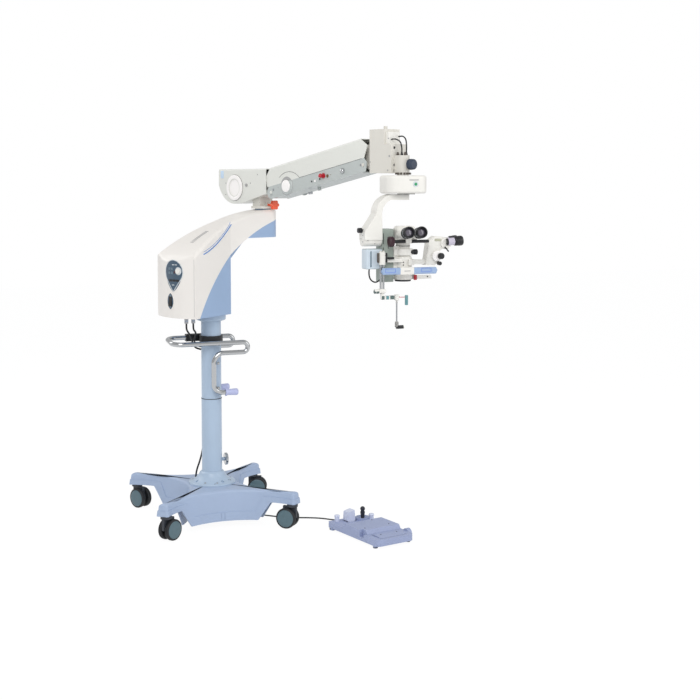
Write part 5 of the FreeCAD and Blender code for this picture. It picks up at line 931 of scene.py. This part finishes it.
# lens arm: sleeve, twin tubes, clamp, thin lens rod, grip and tip
lensArm = {"y": -45, "rodX": -49}
spun("lensSleeve", at(headFrame, -122, lensArm["y"], 1328),
     [(14, 0), (15.6, 1), (15.6, 40), (14.4, 41), (14.4, 43), (15.6, 44), (15.6, 56), (14, 58),
      (1, 58)], 40, headWhite, "scope")
for number, x in enumerate((-141, -102)):
    done(block(f"lensSleeveBlock{number}", headFrame, x - 4, x + 4, -52, -38, 1338, 1382, 2),
         knobBlack if number else darkTaupe, "scope")
for number, x in enumerate((-129, -115)):
    spun(f"lensTube{number}", at(headFrame, x, lensArm["y"], 1196),
         [(4.4, 0), (4.8, 0.4), (4.8, 132)], 28, chrome, "lens_slider")
done(block("lensClampCollar", headFrame, -138, -106, -57, -33, 1200, 1214, 2), headWhite,
     "lens_slider")
spun("lensClampKnob", at(headFrame, -139, lensArm["y"], 1206, (-1, 0, 0)),
     [(7, 0), (9.4, 1), (9.4, 9), (8, 11), (5, 11), (5, 13), (9, 14), (9, 21), (7.4, 22.4),
      (1, 22.4)], 28, knobSlate, "lens_slider", flutes=(1.4, 8.9, 0.8, 0.6))
for number, (x0, x1, material) in enumerate(((-126, -112, knobSlate), (-104, -90, gripTeal),
                                             (-84, -62, knobSlate))):
    done(block(f"lensLinkPad{number}", headFrame, x0, x1, -53, -37.4, 1169, 1186, 1.6), material,
         "lens_slider")
spun("lensGrip", at(headFrame, -4, -53, 1141),
     [(6, 0), (7.6, 1.4), (7.6, 44), (6.4, 46), (1, 46.4)], 28, gripTeal, "lens_swing",
     flutes=(2, 43.9, 0.4, 0.4))
spun("lensGripRod", at(headFrame, -42, -53, 1178, (1, 0, 0)), [(2.3, 0), (2.3, 34)], 16, rodPink,
     "lens_swing")
for number, (low, high, radius) in enumerate(((1160, 1168, 5.4), (1150, 1157, 4.6))):
    spun(f"lensRodCollar{number}", at(headFrame, lensArm["rodX"], lensArm["y"], low),
         [(radius - 0.6, 0), (radius, 0.6), (radius, high - low - 0.6),
          (radius - 0.8, high - low)], 24, ventGrey, "lens_swing")
spun("lensDropRod", at(headFrame, lensArm["rodX"], lensArm["y"], 1066),
     [(3.5, 0), (3.5, 84)], 20, steel, "lens_swing")
spun("lensTipCollar", at(headFrame, lensArm["rodX"], lensArm["y"], 1041),
     [(7, 0), (8.4, 1), (8.4, 22), (7, 25), (4, 26)], 28, knobBlack, "lens_swing",
     flutes=(1.4, 21.9, 0.6, 0.5))
spun("lensTip", at(headFrame, -52, lensArm["y"], 1040, (1, 0, 0)),
     [(6, 0), (8.4, 1.4), (8.4, 34), (7, 38.4), (4, 39.4)], 28, knobBlack, "lens_swing")
print("lens arm details made")

# foot switch: rubber feet and screws on the treadle and deck
for number, (x, y) in enumerate(((-94, -182), (94, -182), (-94, 190), (94, 150))):
    spun(f"switchFoot{number}", at(pedalFrame, x, y, 0),
         [(9.6, 0), (11.6, 1), (12, 12), (12.4, 13)], 28, jacketRubber, "stand")
treadleSpots = [touch("pedal_focus_rocker", pedalFrame, (x, -157, 200), (0, 0, -1))
                for x in (-46, 46)]
screws("treadleScrews", treadleSpots, 3, knobBlack, "focus_pedal", 1.0)
deckSpots = [touch("pedal_housing", pedalFrame, (x, y, 200), (0, 0, -1))
             for x, y in ((-60, 60), (40, 40), (-70, -60), (70, -60))]
screws("deckScrews", deckSpots, 3.4, knobBlack, "stand", 1.0)
print("foot switch details made")

# plain pale floor and backdrop, white to the camera and to mirrors, with the object's shadow
stageLook = {"width": 30.0, "shade": (0.86, 0.87, 0.89), "glow": 1.03, "whiteness": 0.93}
stageMaterial = bpy.data.materials.new("paleStage")
stageMaterial.use_nodes = True
stageNodes, stageLink = stageMaterial.node_tree.nodes, stageMaterial.node_tree.links.new
stageShader = stageNodes["Principled BSDF"]
stageShader.inputs["Base Color"].default_value = (*stageLook["shade"], 1)
stageShader.inputs["Roughness"].default_value = 0.9
glow = stageNodes.new("ShaderNodeEmission")
glow.inputs["Color"].default_value = (1, 1, 1, 1)
glow.inputs["Strength"].default_value = stageLook["glow"]
rays = stageNodes.new("ShaderNodeLightPath")
seen = stageNodes.new("ShaderNodeMath")
seen.operation = "MAXIMUM"
mirrored = stageNodes.new("ShaderNodeMath")
mirrored.operation = "MAXIMUM"
whitened = stageNodes.new("ShaderNodeMath")
whitened.operation = "MULTIPLY"
whitened.inputs[1].default_value = stageLook["whiteness"]
mix = stageNodes.new("ShaderNodeMixShader")
stageLink(rays.outputs["Is Glossy Ray"], mirrored.inputs[0])
stageLink(rays.outputs["Is Transmission Ray"], mirrored.inputs[1])
stageLink(rays.outputs["Is Camera Ray"], seen.inputs[0])
stageLink(mirrored.outputs[0], seen.inputs[1])
stageLink(seen.outputs[0], whitened.inputs[0])
stageLink(whitened.outputs[0], mix.inputs["Fac"])
stageLink(stageShader.outputs[0], mix.inputs[1])
stageLink(glow.outputs[0], mix.inputs[2])
stageLink(mix.outputs[0], stageNodes["Material Output"].inputs["Surface"])
bpy.ops.object.select_all(action="DESELECT")
bpy.ops.mesh.primitive_plane_add(size=stageLook["width"], location=(0, 0, 0))
floor = bpy.context.object
floor.name = "floor"
floor.data.materials.append(stageMaterial)

# a world that is white to the camera and a plain soft light to the object
sky = bpy.data.worlds.new("studio")
bpy.context.scene.world = sky
sky.use_nodes = True
skyNodes, skyLink = sky.node_tree.nodes, sky.node_tree.links.new
skyLight = skyNodes["Background"]
skyLight.inputs["Color"].default_value = (1.0, 1.0, 1.0, 1)
skyLight.inputs["Strength"].default_value = 0.62
skyWhite = skyNodes.new("ShaderNodeBackground")
skyWhite.inputs["Color"].default_value = (1, 1, 1, 1)
skyRays = skyNodes.new("ShaderNodeLightPath")
skyMix = skyNodes.new("ShaderNodeMixShader")
skyLink(skyRays.outputs["Is Camera Ray"], skyMix.inputs["Fac"])
skyLink(skyLight.outputs[0], skyMix.inputs[1])
skyLink(skyWhite.outputs[0], skyMix.inputs[2])
skyLink(skyMix.outputs[0], skyNodes["World Output"].inputs["Surface"])

# name: place, what it points at, size, power
lamps = {"keyLamp": ((-1.6, -4.4, 4.2), (0.2, -0.2, 0.9), 2.6, 120),
         "fillLamp": ((3.6, -3.4, 2.6), (0.3, -0.3, 1.0), 3.0, 46),
         "rimLamp": ((-2.6, 3.0, 3.4), (0.1, 0.0, 1.0), 2.4, 40)}
for name, (spot, target, size, power) in lamps.items():
    lampData = bpy.data.lights.new(name, "AREA")
    lampData.size = size
    lampData.energy = power
    lamp = linked(bpy.data.objects.new(name, lampData))
    lamp.location = spot
    lamp.rotation_euler = (Vector(target) - Vector(spot)).to_track_quat("-Z", "Y").to_euler()
bpy.context.scene.view_settings.view_transform = "Standard"
print("stage and lamps placed")
